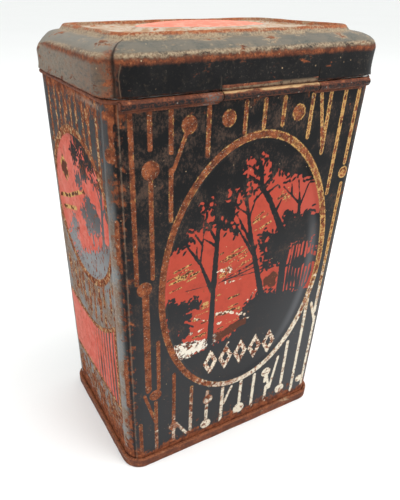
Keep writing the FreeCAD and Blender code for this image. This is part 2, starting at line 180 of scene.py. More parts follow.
def edge_strip(fine, coarse, step):
    """Polygons between a fine edge and a coarse one: each has step + 1 fine corners and 2 coarse ones."""
    pieces = np.arange(len(coarse) - 1)
    near = fine[pieces[:, None] * step + np.arange(step + 1)]
    return np.concatenate([near, coarse[pieces + 1][:, None], coarse[pieces][:, None]], axis=1)


def put_wall(name, along, up, outset, back_outset, step, fields, finishes):
    """A wall of tinplate: a fine printed face, a plainer back every step points, and its cut edges."""
    front = wall_points(along[:, None], outset, up[None, :])
    back = wall_points(along[::step, None], back_outset, up[None, ::step])
    (wide, tall), (few, low) = front.shape[:2], back.shape[:2]
    face = np.arange(wide * tall).reshape(wide, tall)
    rear = wide * tall + np.arange(few * low).reshape(few, low)
    rims = [edge_strip(face[::-1, 0], rear[::-1, 0], step), edge_strip(face[:, -1], rear[:, -1], step),
            edge_strip(face[0], rear[0], step), edge_strip(face[-1, ::-1], rear[-1, ::-1], step)]
    groups = [(quads(wide, tall), 0, True), (quads(few, low, wide * tall, flipped=True), 1, True)]
    groups += [(rim, 1, False) for rim in rims]
    points = np.concatenate([front.reshape(-1, 3), back.reshape(-1, 3)])
    unworn = np.full(few * low, 5.0)
    padded = {field: np.concatenate([values.ravel(), unworn]) for field, values in fields.items()}
    return put_mesh(name, points, groups, finishes, "tin", ["body_sheet"], padded)


def round_off(corners, cut, pitch):
    """A profile through corners: each bend is a curve from cut mm before it to cut mm after it."""
    corners = [np.array(corner, float) for corner in corners]
    points = [corners[0]]
    for before, corner, after in zip(corners, corners[1:], corners[2:]):
        start = corner + (before - corner) * min(0.5, cut / np.linalg.norm(before - corner))
        end = corner + (after - corner) * min(0.5, cut / np.linalg.norm(after - corner))
        share = np.linspace(0, 1, 6)[:, None]
        points += list(start * (1 - share) ** 2 + corner * 2 * share * (1 - share) + end * share ** 2)
    points.append(corners[-1])
    dense = []
    for start, end in zip(points, points[1:]):
        steps = max(1, int(np.linalg.norm(end - start) / pitch))
        dense += [start + (end - start) * part / steps for part in range(steps)]
    return np.array(dense + [points[-1]])


# Printed decoration. Each drawing is a distance in mm, below 0 inside its shape, on a side seen
# from outside: across from its middle and up from the table.

def stroke(across, up, line, wide, wide_end=None):
    """Distance to a straight stroke from (x0, z0) to (x1, z1), wide mm from its middle line, tapering."""
    x0, z0, x1, z1 = line
    length = (x1 - x0) ** 2 + (z1 - z0) ** 2
    share = np.clip(((across - x0) * (x1 - x0) + (up - z0) * (z1 - z0)) / length, 0, 1)
    end = wide if wide_end is None else wide_end
    away = np.hypot(across - x0 - share * (x1 - x0), up - z0 - share * (z1 - z0))
    return away - wide - (end - wide) * share


def spot(across, up, x, z, radius):
    """Distance to a round spot: the distance from its middle, less its radius."""
    return np.hypot(across - x, up - z) - radius


def oval(across, up, middle, half):
    """Distance to an ellipse, near it: k(k - 1) / g, with k the scaled radius and g its slope."""
    x, z = (across - middle[0]) / half[0], (up - middle[1]) / half[1]
    scaled = np.hypot(x, z)
    slope = np.hypot(x / half[0], z / half[1])
    return scaled * (scaled - 1) / np.maximum(slope, 1e-6)


def union(shapes):
    """Distance to all the shapes together: the least of their distances."""
    return np.minimum.reduce(list(shapes))


LONG_OVAL = dict(level=92.3, wide=40.6, tall=59.3)     # middle line of the printed ring
SHORT_OVAL = dict(level=120.0, wide=31.8, tall=30.6)
RING_HALF = 1.45
STEM_HALF = 0.9
OVAL_DEPTH = 1.1
SINK = 1.6                                             # width of the slope into a sunk oval
SINK_INSET = 1.2                                       # from the ring's middle line to the slope
SCENE_INSET = 1.4                                      # from the ring's middle line to the scene
STEM_PITCH = 6.4                                       # between the stems of the short sides
REED_PITCH = 1.9
HATCH_PITCH = 3.6
MARK_PITCH = 8.4                                       # between the worn leaf marks

# Upright printed stems of the long sides, as (x, upper end, lower end)
STEMS = ((-54.6, 163, 154), (-54.6, 128, 112), (-54.6, 66, 40), (-49.5, 28, 8), (-48.4, 163, 103),
         (-45.2, 97, 47), (-41.8, 163, 152), (-41.8, 141, 104), (-41.6, 39, 8), (-40.0, 73, 47),
         (-34.2, 163, 150), (-34.2, 144, 126), (-32.4, 52, 8), (-23.0, 40, 8), (-20.0, 163, 147),
         (-14.0, 33, 12), (-5.2, 163, 153), (-5.0, 31, 8), (3.0, 163, 154), (6.0, 31, 15),
         (11.4, 163, 154), (14.0, 32, 8), (21.5, 31, 24), (22.8, 20, 8), (24.4, 163, 148),
         (33.0, 163, 141), (33.0, 46, 16), (40.4, 163, 123), (41.2, 70, 8), (47.2, 163, 135),
         (47.6, 126, 60), (48.6, 56, 10))
# Side twigs, as (x, z, x, z)
TWIGS = ((-27.5, 158, -33.2, 144), (-42.2, 27, -47.0, 45), (-30.0, 18, -25.2, 10),
         (0.2, 30, -3.8, 20), (28.2, 163, 32.6, 144), (28.0, 38, 25.2, 18), (22.0, 29, 24.6, 18),
         (44.2, 66, 48.6, 54))
# Round buds, as (x, z, radius)
BUDS = ((-55.6, 150.5, 2.4), (-45.4, 100, 3.2), (-41.8, 145, 3.3), (-41.7, 43.5, 3.0),
        (-27.4, 158, 3.0), (-12.0, 158.5, 2.9), (18.5, 157.5, 3.0), (47.4, 131, 2.5),
        (-32.4, 18.6, 2.6), (-13.5, 27.5, 2.8), (-14.0, 10.6, 3.0), (6.0, 12, 3.4), (21.4, 30.5, 2.9),
        (32.6, 14, 3.0), (46.2, 15.5, 2.5))


def printed_oval(across, up, size, middle=0.0, inset=0.0):
    """Distance to a side's printed oval, or to the smaller one that lies inset mm inside it."""
    half = (size["wide"] - inset, size["tall"] - inset)
    return oval(across, up, (middle, size["level"]), half)


def long_side_lines(across, up, middle):
    """Stems, side twigs and round buds outside the oval, and the oval's ring."""
    shapes = [stroke(across, up, (x, top, x, foot), STEM_HALF) for x, top, foot in STEMS]
    shapes += [stroke(across, up, twig, STEM_HALF * 0.85) for twig in TWIGS]
    shapes += [spot(across, up, *bud) for bud in BUDS]
    shapes.append(stroke(across, up, (-45.0, 97, -45.0, 48), 1.5))
    ring = printed_oval(across, up, LONG_OVAL, middle)
    return np.minimum(np.maximum(union(shapes), 1.5 - ring), np.abs(ring) - RING_HALF)


def leaf_scatter(across, up, mass, seed, cell=1.35):
    """Leaves, one to a square cell: ellipses that lie at random, at random places in their cells.

    mass is a function that gives a distance to the clumps. A leaf is there where it is below luck,
    a random number of mm from -1.9 to 1.0, so the clumps end in loose leaves and small gaps."""
    random = np.random.default_rng(seed).random((5, 256, 256))
    column, row = np.floor(across / cell).astype(int), np.floor(up / cell).astype(int)
    nearest = np.full(np.shape(across), 9.0)
    for beside in (-1, 0, 1):
        for above in (-1, 0, 1):
            luck = random[:, (column + beside) % 256, (row + above) % 256]
            x, z = (column + beside + luck[0]) * cell, (row + above + luck[1]) * cell
            turn = luck[2] * math.pi
            along = (across - x) * np.cos(turn) + (up - z) * np.sin(turn)
            aside = (up - z) * np.cos(turn) - (across - x) * np.sin(turn)
            leaf = (np.hypot(along / (0.85 + 0.5 * luck[4]), aside / 0.52) - 1) * 0.55
            nearest = np.minimum(nearest, np.where(mass(x, z) < luck[3] * 2.9 - 1.9, leaf, 9.0))
    return nearest


def foliage(across, up, mass, seed):
    """Clumps of leaves: solid 1.9 mm inside the outline of mass, and loose leaves at its edge."""
    return np.minimum(mass(across, up) + 1.9, leaf_scatter(across, up, mass, seed))


def tree(across, up, trunk, wide, boughs):
    """A trunk that narrows to 0.55 of its width, and boughs half as wide that taper to a twig."""
    shapes = [stroke(across, up, trunk, wide, wide * 0.55)]
    shapes += [stroke(across, up, bough, wide * 0.5, 0.25) for bough in boughs]
    return union(shapes)


# Lower line of the long side's canopy, as (x, z)
CANOPY = ((-39, 112), (-33, 111.5), (-27, 111.5), (-24, 114), (-21, 116.5), (-17.5, 118), (-14, 119),
          (-9, 117), (-6, 117.5), (-4.5, 123), (-2, 128.5), (3, 129), (6.5, 133), (9, 133), (12, 131),
          (16, 129.5), (22, 131), (27, 129.5), (33, 129), (37, 124), (44, 118))
# Gaps through the canopy, as (x, z, x, z, half-width at both ends)
CANOPY_GAPS = ((-20.8, 128.6, -19.4, 126, 0.4, 0.7), (-16.2, 130, -15.4, 127.4, 0.4, 0.9),
               (-18.2, 125.6, -16.6, 123, 0.7, 1.1), (-19.4, 122.8, -17.8, 120.8, 0.6, 1.1),
               (-25.4, 118.4, -21.6, 116.6, 0.9, 1.3), (-17.4, 119.2, -18, 116, 1.0, 1.5),
               (-12, 121.6, -10.4, 118.2, 0.6, 1.5), (-9.2, 132, -9, 129.4, 0.4, 0.8),
               (-5.4, 131.2, -2.8, 127.4, 0.8, 1.5), (0.6, 129.6, 1.2, 126.4, 1.5, 1.1),
               (-4.6, 124, -1.6, 121.4, 0.8, 1.4), (1.2, 132.6, 3.8, 131.2, 1.5, 1.2),
               (-1.4, 138.6, 3.4, 134.4, 1.4, 0.7), (-0.6, 141.6, 2.6, 139, 1.2, 0.6),
               (5.8, 143, 6, 140.6, 1.1, 0.4), (8.6, 139.6, 7.3, 134.2, 1.0, 1.7),
               (8.4, 130.4, 11.2, 133, 1.1, 1.8), (12.8, 133.8, 13.9, 136, 0.8, 0.5),
               (14.4, 132.2, 15.7, 136, 0.9, 0.5), (17.6, 132.5, 18.2, 133, 1.1, 0.9),
               (19.4, 127, 21.6, 130, 1.1, 1.5), (22.2, 130, 22.9, 133.2, 1.4, 0.4),
               (25.2, 128.5, 25.6, 132.2, 1.1, 0.4), (31, 129.5, 32, 131.5, 1.0, 0.3))
# Round clumps of leaves under the canopy, as (x, z, radius)
CLUMPS = ((-8.5, 118, 3.2), (-4.5, 115, 3.0), (10.8, 109.5, 3.6), (10.5, 104.5, 3.6), (13.6, 99.5, 4),
          (13, 95.2, 3.6), (17.5, 104.5, 7), (19, 97.5, 5.5), (22.5, 115, 4.6), (27, 108.5, 8),
          (34, 108, 8), (32.5, 114.5, 3.8), (38.5, 109, 7), (41, 101, 4.6), (-34, 86, 5.4),
          (-28, 85, 5), (-22.4, 85.4, 4.2), (-31, 79, 6), (-25.6, 80, 3.6), (-33, 73, 5),
          (-27.2, 75, 4.2), (-31, 69, 4.6), (-27, 71.8, 4.2))


def crowns(x, z):
    """Distance to the long side's clumps of leaves: what lies above the canopy's line, less its
    gaps, and round clumps."""
    above = (np.interp(x, *zip(*CANOPY)) - z) * 0.8
    gaps = union(stroke(x, z, gap[:4], *gap[4:]) for gap in CANOPY_GAPS) + 0.95
    return np.minimum(np.maximum(above, -gaps), union(spot(x, z, *clump) for clump in CLUMPS))


def bushes(x, z):
    """Distance to the bank and the low bushes on it: 0.8 of the height over their line."""
    bank = np.interp(x, [-38, -18, -5, 0, 3, 6, 11, 16, 22, 30, 44],
                     [60, 61, 63, 66, 76, 80, 83, 82, 80, 78, 78])
    return (z - bank) * 0.8


# Trees of the long sides, as (trunk, its half-width, its boughs)
TREES = (((-13.7, 60, -13.4, 96), 1.75, ()),
         ((-13.4, 92, -12.7, 124), 1.45,
          ((-13.2, 112, -20.2, 124.5), (-13, 110, -19.5, 115), (-12.9, 116, -8.5, 124),
           (-13, 119, -15.8, 129))),
         ((-14.4, 90, -20.9, 105.5), 1.05, ((-20.4, 104, -19.2, 118), (-19.6, 112, -24.2, 119))),
         ((-20.6, 104.5, -26.2, 112.5), 0.75, ((-22, 107, -22.3, 112),)),
         ((12.8, 79, 3.6, 110), 1.7, ((5.6, 102, -5.8, 119), (4.2, 107, -4.6, 122))),
         ((3.7, 109, -0.8, 128.5), 1.05,
          ((1.6, 119, 4.4, 129), (0.2, 124, -4.6, 132), (0.8, 121, -4.9, 125), (3.2, 126, 8.8, 131))),
         ((20.4, 108, 10.8, 125.2), 1.8, ((14.5, 119, 16.8, 124),)),
         ((11, 124.8, 6.2, 131), 1.35, ((6.6, 130.6, 11.4, 135.8), (8.8, 128, 14, 130.8))),
         ((6.3, 130.6, 4.6, 141), 1.15,
          ((5.8, 132.6, -0.6, 137), (5, 136.6, -1.4, 140.8), (5, 137.4, 7.2, 142.6))),
         ((27.8, 112, 26.6, 123), 1.1,
          ((27, 120.5, 17.2, 129.4), (27, 121, 24.6, 131), (27.3, 119.5, 30.4, 129),
           (22, 125.3, 21.2, 130.5))))
# A post on the bank and the lines of the far shore, as (x, z, x, z, half-width)
FAR_LINES = ((23, 78, 22.6, 102, 1.9), (-27, 93.2, -15, 92.6, 0.16), (-11, 92.6, 7.5, 95.6, 0.3),
             (-9, 93.6, 9.5, 99, 0.22), (-5, 93.4, 8.5, 93, 0.25), (-1, 95.2, 6.5, 97.8, 0.2))


def long_side_scene(across, up, seed):
    """Dark trees before a red evening sky. Below 0 is dark: leaf clumps, trunks, bushes and bank."""
    leaves = np.minimum(foliage(across, up, crowns, seed), foliage(across, up, bushes, seed + 1))
    number = np.round(across / REED_PITCH)
    sway = 1.5 * (cloud(number * 3.3, up, 11, seed + 5) - 0.5)
    thick = 0.95 * cloud(number * 5.1, up, 7, seed + 6) ** 0.7
    reeds = np.abs(across + sway - number * REED_PITCH) - thick
    thicket = np.maximum.reduce([reeds, np.abs(across - 34.5) - 11, np.abs(up - 89) - 13])
    tall = 4.2 * cloud(across, up * 0, 2.1, seed + 7)
    hedge = np.maximum(np.abs(up - 91.5) - tall, np.abs(across - 35) - 10)
    trees = [tree(across, up, *shape) for shape in TREES]
    trees += [stroke(across, up, line[:4], line[4]) for line in FAR_LINES]
    ragged = 0.35 * (cloud(across, up, 0.9, seed + 3) - 0.5)
    return np.minimum.reduce([leaves, thicket, hedge + ragged, union(trees) + ragged])


def dashes(across, up, seed, count, field, lean, wide=0.38):
    """Short worn strokes of light on clouds and water, scattered in field and leaning by lean radians."""
    random = np.random.default_rng(seed)
    low_x, high_x, low_z, high_z = field
    shapes = []
    for _ in range(count):
        x, z = random.uniform(low_x, high_x), random.uniform(low_z, high_z)
        length, turn = random.uniform(1.8, 8.5), lean * random.uniform(0.7, 1.2)
        line = (x, z, x + length * math.cos(turn), z + length * math.sin(turn))
        shapes.append(stroke(across, up, line, wide * random.uniform(0.5, 1.6)))
    return union(shapes)


def leaf_row(across, up, middle, level):
    """The row of worn leaf marks on the bank: five upright lozenge outlines, and two dots over the
    second."""
    nearest = np.clip(np.round((across - middle) / MARK_PITCH), -2, 2) * MARK_PITCH
    aside = np.abs(across - middle - nearest)
    lozenge = (aside / 2.8 + np.abs(up - level) / 5.4 - 1) * 2.5
    dots = union(spot(across, up, middle - 7.6, level + rise, 0.75) for rise in (8.2, 11.6))
    return np.minimum(np.abs(lozenge) - 1.05, dots)


# Clumps of leaves of the short sides, as (x, z, radius)
SIDE_CLUMPS = ((0, 148, 6), (-5, 141.5, 5), (4, 137.5, 5.6), (-2, 131, 4), (-5, 131, 3), (8, 122, 6.2),
               (14, 120, 6.6), (1, 118.5, 4.4), (5, 115, 4.6), (-14, 108, 5), (-17, 101, 5.5),
               (-12.5, 98, 5.2), (14, 136, 3), (12, 147, 9), (24, 139, 6), (27, 128, 3))


def short_side_clumps(x, z):
    """Distance to the short side's clumps of leaves and to the hill they stand on."""
    hill = (z - np.interp(x, [-34, -14, -8, 12, 24, 34], [90, 93, 98, 107, 115, 119])) * 0.9
    return np.minimum(union(spot(x, z, *clump) for clump in SIDE_CLUMPS), hill)


def short_side_scene(across, up, seed):
    """A hill, leaf clumps and a leaning tree before the same sky, on a short side's oval."""
    trunks = [tree(across, up, (21, 112, 22.5, 143), 1.3, ((21.6, 124, 27, 133), (22, 128, 15, 138))),
              tree(across, up, (9.5, 108, 8.5, 120), 1.0, ((9, 113, 13, 119),))]
    return union([foliage(across, up, short_side_clumps, seed), *trunks])


# Round buds of the short sides, as (x, z, radius)
SIDE_BUDS = ((-33, 157, 2.4), (-5.5, 158, 2.6), (17.5, 159, 2.7), (13, 82.5, 2.6), (-16.5, 75.5, 2.4),
             (-26, 84, 2.4), (-8, 22, 2.5), (22, 23, 2.5), (-26, 14, 2.5))


def short_side_lines(across, up):
    """Stems and buds over and under a short side's oval, and its ring."""
    ring = printed_oval(across, up, SHORT_OVAL)
    number = np.round(across / STEM_PITCH)
    sway = 1.6 * (cloud(number, number * 0, 1, 61) - 0.5)
    column = np.abs(across + sway - number * STEM_PITCH) - 1.1
    breaks = cloud(number * 3.7, up, 9, 62) - 0.3 + smooth(146, 152, up)
    stems = np.maximum.reduce([column, -5 * breaks, 2.0 - ring, 70 - up + 0.15 * np.abs(across)])
    low_stems = np.maximum.reduce([column, -6 * (cloud(number * 2.9, up, 7, 63) - 0.38), up - 30])
    buds = [spot(across, up, *bud) for bud in SIDE_BUDS]
    return union([stems, low_stems, *buds, np.abs(ring) - 1.6])


def red_band(across, up):
    """The red panel under a short side's oval: level below, its upper edge an arch."""
    top = 64.2 + 0.0135 * np.maximum(across + 4, 0) ** 2 + 0.004 * np.minimum(across + 4, 0) ** 2
    return np.maximum.reduce([32 - up, up - top, across - 28.6])


def hatching(across, up, band):
    """Upright dark lines on the nearer half of the red panel, HATCH_PITCH apart and uneven."""
    number = np.round(across / HATCH_PITCH)
    sway = 1.4 * (cloud(number * 5.3, up, 16, 65) - 0.5)
    place = np.abs(across + sway - number * HATCH_PITCH)
    wide = 0.1 + 1.25 * cloud(number * 7.1, up, 14, 66) * smooth(-6, 10, across)
    return np.maximum.reduce([place - wide, -1 - across, band + 1.0])


# Broad worn strokes on the water and the bank, as (x, z, x, z, half-width)
WORN_STROKES = ((-11.2, 98.4, -5.5, 97.4, 1.1), (-11, 92.4, 4, 91.2, 0.55), (-3.5, 75.6, 4, 71.6, 0.75),
                (1, 70.8, 6.5, 68.6, 0.4), (4.5, 79.2, 9.6, 83.4, 0.55), (-11, 77, -5, 76.4, 0.9),
                (-10, 71.6, -3.5, 72.4, 0.6), (-22, 78, -16.5, 75, 0.7), (-25, 70.4, -18, 71, 0.6))


def long_side_fields(across, up, middle, seed):
    """Everything printed and worn on a long side, as distances and shares for its finish."""
    inside = printed_oval(across, up, LONG_OVAL, middle, SCENE_INSET)
    place = across - middle + 2.5
    scene = long_side_scene(place, up, seed)
    fields = {"lines": long_side_lines(across, up, middle)}
    fields["red"] = np.maximum(inside, -scene)
    glints = union([dashes(place, up, seed + 11, 27, (-12, 2, 93, 107), 0.33, 0.26),
                    dashes(place, up, seed + 12, 8, (2, 9, 110, 119), 0.46, 0.28),
                    dashes(place, up, seed + 14, 10, (14, 20, 122, 127), 0.5, 0.2),
                    dashes(place, up, seed + 15, 15, (-36, -21, 89, 104), 0.2, 0.3),
                    dashes(place, up, seed + 16, 20, (-24, 2, 66, 88), 0.1, 0.36)])
    fields["glints"] = np.maximum(glints, fields["red"] + 0.35)
    level = np.interp(place, [-36, -15, -11, 6], [61.6, 62.6, 63.6, 68.5])
    half = np.interp(place, [-36, -27, -15, -11, 6], [6.2, 4.2, 2.6, 2.6, 1.8])
    shore = np.abs(up - level) - half - 1.6 * (cloud(place, up, 1.8, seed + 13) - 0.5)
    shore = np.maximum(np.maximum(shore, np.abs(place + 15.5) - 21), inside + 0.2)
    shore = np.maximum(shore, 1.6 - np.abs(place + 13.7))
    blot = spot(place, up, 17, 86.5, 3.8) + 2.5 * (cloud(place, up, 2.2, seed + 17) - 0.5)
    fields["shore"] = np.minimum(shore, blot)
    worn = [stroke(place, up, line, wide) for *line, wide in WORN_STROKES]
    worn = union(worn) + 2.6 * (cloud(place, up, 1.1, seed + 18) - 0.35)
    fields["marks"] = np.maximum(np.minimum(leaf_row(place, up, 4.0, 50.2), worn), inside + 0.4)
    fields["edge"] = inside
    return fields


def short_side_fields(across, up, seed):
    """Everything printed on a short side, as distances for its finish."""
    inside = printed_oval(across, up, SHORT_OVAL, inset=SCENE_INSET)
    scene = short_side_scene(across, up, seed)
    band = red_band(across, up)
    lines = np.maximum(short_side_lines(across, up), -0.6 - band)
    fields = {"lines": np.minimum(lines, np.abs(band + 0.2) - 1.2), "edge": inside}
    fields["red"] = np.maximum(np.minimum(np.maximum(inside, -scene), band), -hatching(across, up, band))
    clouds = ((-29, 116.5, -18, 119.5), (-18, 119.5, 2, 128), (2, 128, 18, 122.5),
              (-27, 111.5, -10, 116.5))
    glints = union(stroke(across, up, line, 0.95) for line in clouds)
    blot = spot(across, up, -20.5, 131, 4.8) + 2.4 * (cloud(across, up, 2.0, seed) - 0.5)
    fields["glints"] = np.maximum.reduce([np.minimum(glints, blot), inside + 0.6, -scene + 0.3])
    return fields


def wear_fields(along, up, base):
    """How readily a place rusts, from 0 to 1, and how far it is from the lock seam's edge in mm."""
    above_seam = up - RIM_HEIGHT
    splashed = 0.9 * cloud(along, up * 0, 7, 15) * np.exp(-above_seam / 7.0)
    near_foot = np.exp(-above_seam / 3.5) + splashed
    near_top = np.exp(-(WALL_TOP - up) / 3.0)
    turn = (along + FLAT_X) % (2 * HALF_ROUND)
    on_corner = np.minimum(np.abs(turn - 2 * FLAT_X - ARC / 2), np.abs(turn - (2 * HALF_ROUND - ARC / 2)))
    near_corner = np.exp(-(on_corner / 4.0) ** 2)
    rust = base + 0.5 * near_foot + 0.35 * near_top + 0.26 * near_corner + 0 * up
    seam = along - SEAM_EDGE + 0 * up
    return {"rust": rust, "seam": seam}


SEAM_EDGE = -(FLAT_X + math.radians(34.5) * WALL_CORNER)    # edge of the lap on the corner at -X, -Y
LAP_START = -(FLAT_X + math.radians(84) * WALL_CORNER)
LAP_HEIGHT = 0.35
LAP_FOOT, LAP_TOP = 9.0, 164.5


def sink(across, up, size, middle=0.0, wider=0.0):
    """Depth of a sunk oval: OVAL_DEPTH inside, a cubic slope SINK mm wide inside the ring."""
    edge = printed_oval(across, up, size, middle, SINK_INSET)
    return OVAL_DEPTH * smooth(-SINK, 0, wider - edge - SINK)


def lap(along, up):
    """Height of the lock seam's lap over the wall, a flat strip with sloping edges."""
    strip = smooth(-0.25, 0.25, SEAM_EDGE - along) * smooth(-0.5, 0.5, along - LAP_START)
    return LAP_HEIGHT * strip * smooth(0, 2, up - LAP_FOOT) * smooth(0, 1, LAP_TOP - up)


def dents(along, up, seed):
    """Shallow handling dents, always inwards: two smooth random fields, 0.25 mm deep together."""
    return 0.16 * cloud(along, up, 23, seed) + 0.09 * cloud(along, up, 9, seed + 1)


PITCH, BACK_STEP = 0.5, 5                   # mm between a wall's points, and how many its back skips
BACK_WIDER = 1.2                            # an oval's slope starts this much further out at the back


def wall_grids(reach):
    """Lengths to both sides of a wall's middle, heights, and their fine and coarse grids."""
    along, up = (np.linspace(low, high, BACK_STEP * round((high - low) / PITCH / BACK_STEP) + 1)
                 for low, high in ((-reach, reach), (WALL_FOOT, WALL_TOP)))
    fine = np.meshgrid(along, up, indexing="ij")
    coarse = np.meshgrid(along[::BACK_STEP], up[::BACK_STEP], indexing="ij")
    return along, up, fine, coarse


def make_walls(finishes, side_finishes):
    """The printed sheet as four walls. The long ones go round the corners to meet the short ones."""
    along, up, fine, coarse = wall_grids(FLAT_X + ARC + 1)
    for name, centre, middle, seed, base in (("wall_hinge_side", 0.0, 2.5, 3, 0.16),
                                             ("wall_opening_side", HALF_ROUND, 0.0, 23, 0.2)):
        outset = -sink(*fine, LONG_OVAL, middle) - dents(*fine, seed + 30)
        back = -TIN - sink(*coarse, LONG_OVAL, middle, BACK_WIDER) - dents(*coarse, seed + 30) - 0.05
        fields = long_side_fields(*fine, middle, seed)
        fields.update(wear_fields(fine[0] + centre, fine[1], base))
        if centre == 0:
            outset = outset + lap(*fine)
        put_wall(name, along + centre, up, outset, back, BACK_STEP, fields, finishes)
    along, up, fine, coarse = wall_grids(FLAT_Y - 1)
    for name, centre, seed, base in (("wall_right", HALF_ROUND / 2, 43, 0.2),
                                     ("wall_left", -HALF_ROUND / 2, 63, 0.26)):
        outset = -sink(*fine, SHORT_OVAL) - dents(*fine, seed + 30)
        back = -TIN - sink(*coarse, SHORT_OVAL, wider=BACK_WIDER) - dents(*coarse, seed + 30) - 0.05
        fields = short_side_fields(*fine, seed)
        fields.update(wear_fields(fine[0] + centre, fine[1], base))
        put_wall(name, along + centre, up, outset, back, BACK_STEP, fields, side_finishes)


def closed_loft(name, rows, finishes, body, nodes=(), fields=None, inner_from=None):
    """A closed skin through rows of points, shaped (around, row, 3), with a pole at both ends. The
    rows from inner_from on have the second finish."""
    around, count = rows.shape[:2]
    faces = quads(around, count, closed=True)
    inner = faces.min(axis=1) % count >= (inner_from or count)
    groups = [(faces[~inner], 0, True)]
    if inner_from:
        groups.append((faces[inner], 1, True))
    points = rows.reshape(-1, 3)
    numbers = np.arange(around * count).reshape(around, count)
    for column, last in ((0, False), (count - 1, True)):
        here, following = numbers[:, column], np.roll(numbers[:, column], -1)
        ends = (here, following) if last else (following, here)
        centre = np.full(around, len(points))
        points = np.concatenate([points, rows[:, column].mean(axis=0, keepdims=True)])
        fan = np.stack([ends[0], ends[1], centre], axis=1)
        groups.append((fan, int(last and bool(inner_from)), True))
    fields = {field: np.append(values, np.full(len(points) - values.size, values.ravel()[0]))
              for field, values in (fields or {}).items()}
    return put_mesh(name, points, groups, finishes, body, nodes, fields)


def make_bottom_seam(finish):
    """The recessed bottom and its folded seam: one profile, from the middle of the plate's upper
    face, down inside the wall, round the fold, and back to the middle of its lower face."""
    plate = seam_low[2] + PLATE_HEIGHT
    section = round_off([(-22, plate), (-0.45, plate), (-0.4, 0.75), (0.65, 0.75), (0.62, 4.55),
                         (0.06, 4.7), (0.06, RIM_HEIGHT), (RIM_STAND, RIM_HEIGHT), (RIM_STAND, 0),
                         (-0.66, 0), (-0.66, plate - TIN), (-22, plate - TIN)], 0.55, 0.6)
    along = np.linspace(0, 2 * HALF_ROUND, 520, endpoint=False)
    outset, up = section[:, 0], section[:, 1]
    waves = 0.7 * cloud(along, along * 0, 11, 5) + 0.5 * cloud(along, along * 0, 3.5, 6)
    wave = 0.22 * smooth(0.8, 1.6, outset) * waves[:, None]
    place = [part[:, None] for part in track(along, WALL_X, WALL_Y, WALL_CORNER)]
    reach = np.maximum(WALL_CORNER + outset, 0.4)
    x = place[0] * (FLAT_X + WALL_CORNER + outset - reach) + (reach - wave) * np.cos(place[2])
    y = place[1] * (FLAT_Y + WALL_CORNER + outset - reach) + (reach - wave) * np.sin(place[2])
    rows = np.stack(np.broadcast_arrays(x, y, up), axis=-1)
    return closed_loft("bottom_seam", rows[:, ::-1], [finish], "tin", ["bottom_end"])


BEAD_RADIUS = 0.74


def make_upper_bead(finish):
    """The half-round bead at the wall's upper edge, round three sides; it ends at the hinge side."""
    along = np.linspace(FLAT_X, 2 * HALF_ROUND - FLAT_X, 520)
    turn = np.linspace(0, 2 * math.pi, 20, endpoint=False)
    ends = smooth(2, 1.3 * ARC, along - along[0]) * smooth(0, 2.5, along[-1] - along)
    ripple = 0.9 + 0.1 * cloud(along[:, None], turn * 3, 2.5, 8)
    radius = BEAD_RADIUS * (0.45 + 0.55 * ends)[:, None] * ripple
    outset = 0.24 - 0.3 * (1 - ends)[:, None] + radius * np.cos(turn)
    up = WALL_TOP + radius * np.sin(turn) + 0 * along[:, None]
    points = wall_points(along[:, None], outset, up)
    numbers = np.arange(len(along) * len(turn)).reshape(len(along), len(turn))
    wrapped = np.concatenate([numbers, numbers[:, :1]], axis=1)
    faces = np.stack([wrapped[:-1, :-1], wrapped[1:, :-1], wrapped[1:, 1:], wrapped[:-1, 1:]], axis=-1)
    groups = [(faces.reshape(-1, 4), 0, True), (numbers[:1, :], 0, False), (numbers[-1:, ::-1], 0, False)]
    return put_mesh("upper_bead", points.reshape(-1, 3), groups, [finish], "tin")


def rolled_strip(name, start, end, lead_in, finish, body, seed):
    """Tinplate rolled round the hinge wire: its section is a lead-in line and an arc of radius
    CURL_RADIUS less half the sheet, thickened by half the sheet each way and carried along X."""
    radius = CURL_RADIUS - TIN / 2
    turn = np.radians(np.linspace(90, 395, 44))
    arc = np.stack([PIN_Y + radius * np.cos(turn), PIN_Z + radius * np.sin(turn)], axis=1)
    line = np.concatenate([round_off([*lead_in, arc[0]], 0.5, 0.5)[:-1], arc])
    slope = np.gradient(line, axis=0)
    normal = np.stack([slope[:, 1], -slope[:, 0]], axis=1) / np.linalg.norm(slope, axis=1, keepdims=True)
    section = np.concatenate([line + normal * TIN * 0.49, (line - normal * TIN * 0.49)[::-1]])
    along = np.linspace(start, end, int((end - start) / 0.5) + 1)
    ragged = 0.05 * cloud(along[:, None], np.arange(len(section)) * 0.15, 2.2, seed)
    centre = np.array([PIN_Y, PIN_Z])
    spread = section[None] - centre
    eased = smooth(0.5, 1.4, np.linalg.norm(spread, axis=2))[..., None]
    moved = centre + spread * (1 - ragged[..., None] * eased)
    x = np.broadcast_to(along[:, None, None], moved.shape[:2] + (1,))
    points = np.concatenate([x, moved], axis=2)
    count = len(section)
    numbers = np.arange(len(along) * count).reshape(len(along), count)
    wrapped = np.concatenate([numbers, numbers[:, :1]], axis=1)
    faces = np.stack([wrapped[:-1, :-1], wrapped[:-1, 1:], wrapped[1:, 1:], wrapped[1:, :-1]], axis=-1)
    half = count // 2
    pair = np.arange(half - 1)
    cap = np.stack([pair, pair + 1, count - 2 - pair, count - 1 - pair], axis=1)
    groups = [(faces.reshape(-1, 4), 0, True), (cap[:, ::-1], 0, False),
              (numbers[-1, 0] + cap, 0, False)]
    return put_mesh(name, points.reshape(-1, 3), groups, [finish], body)


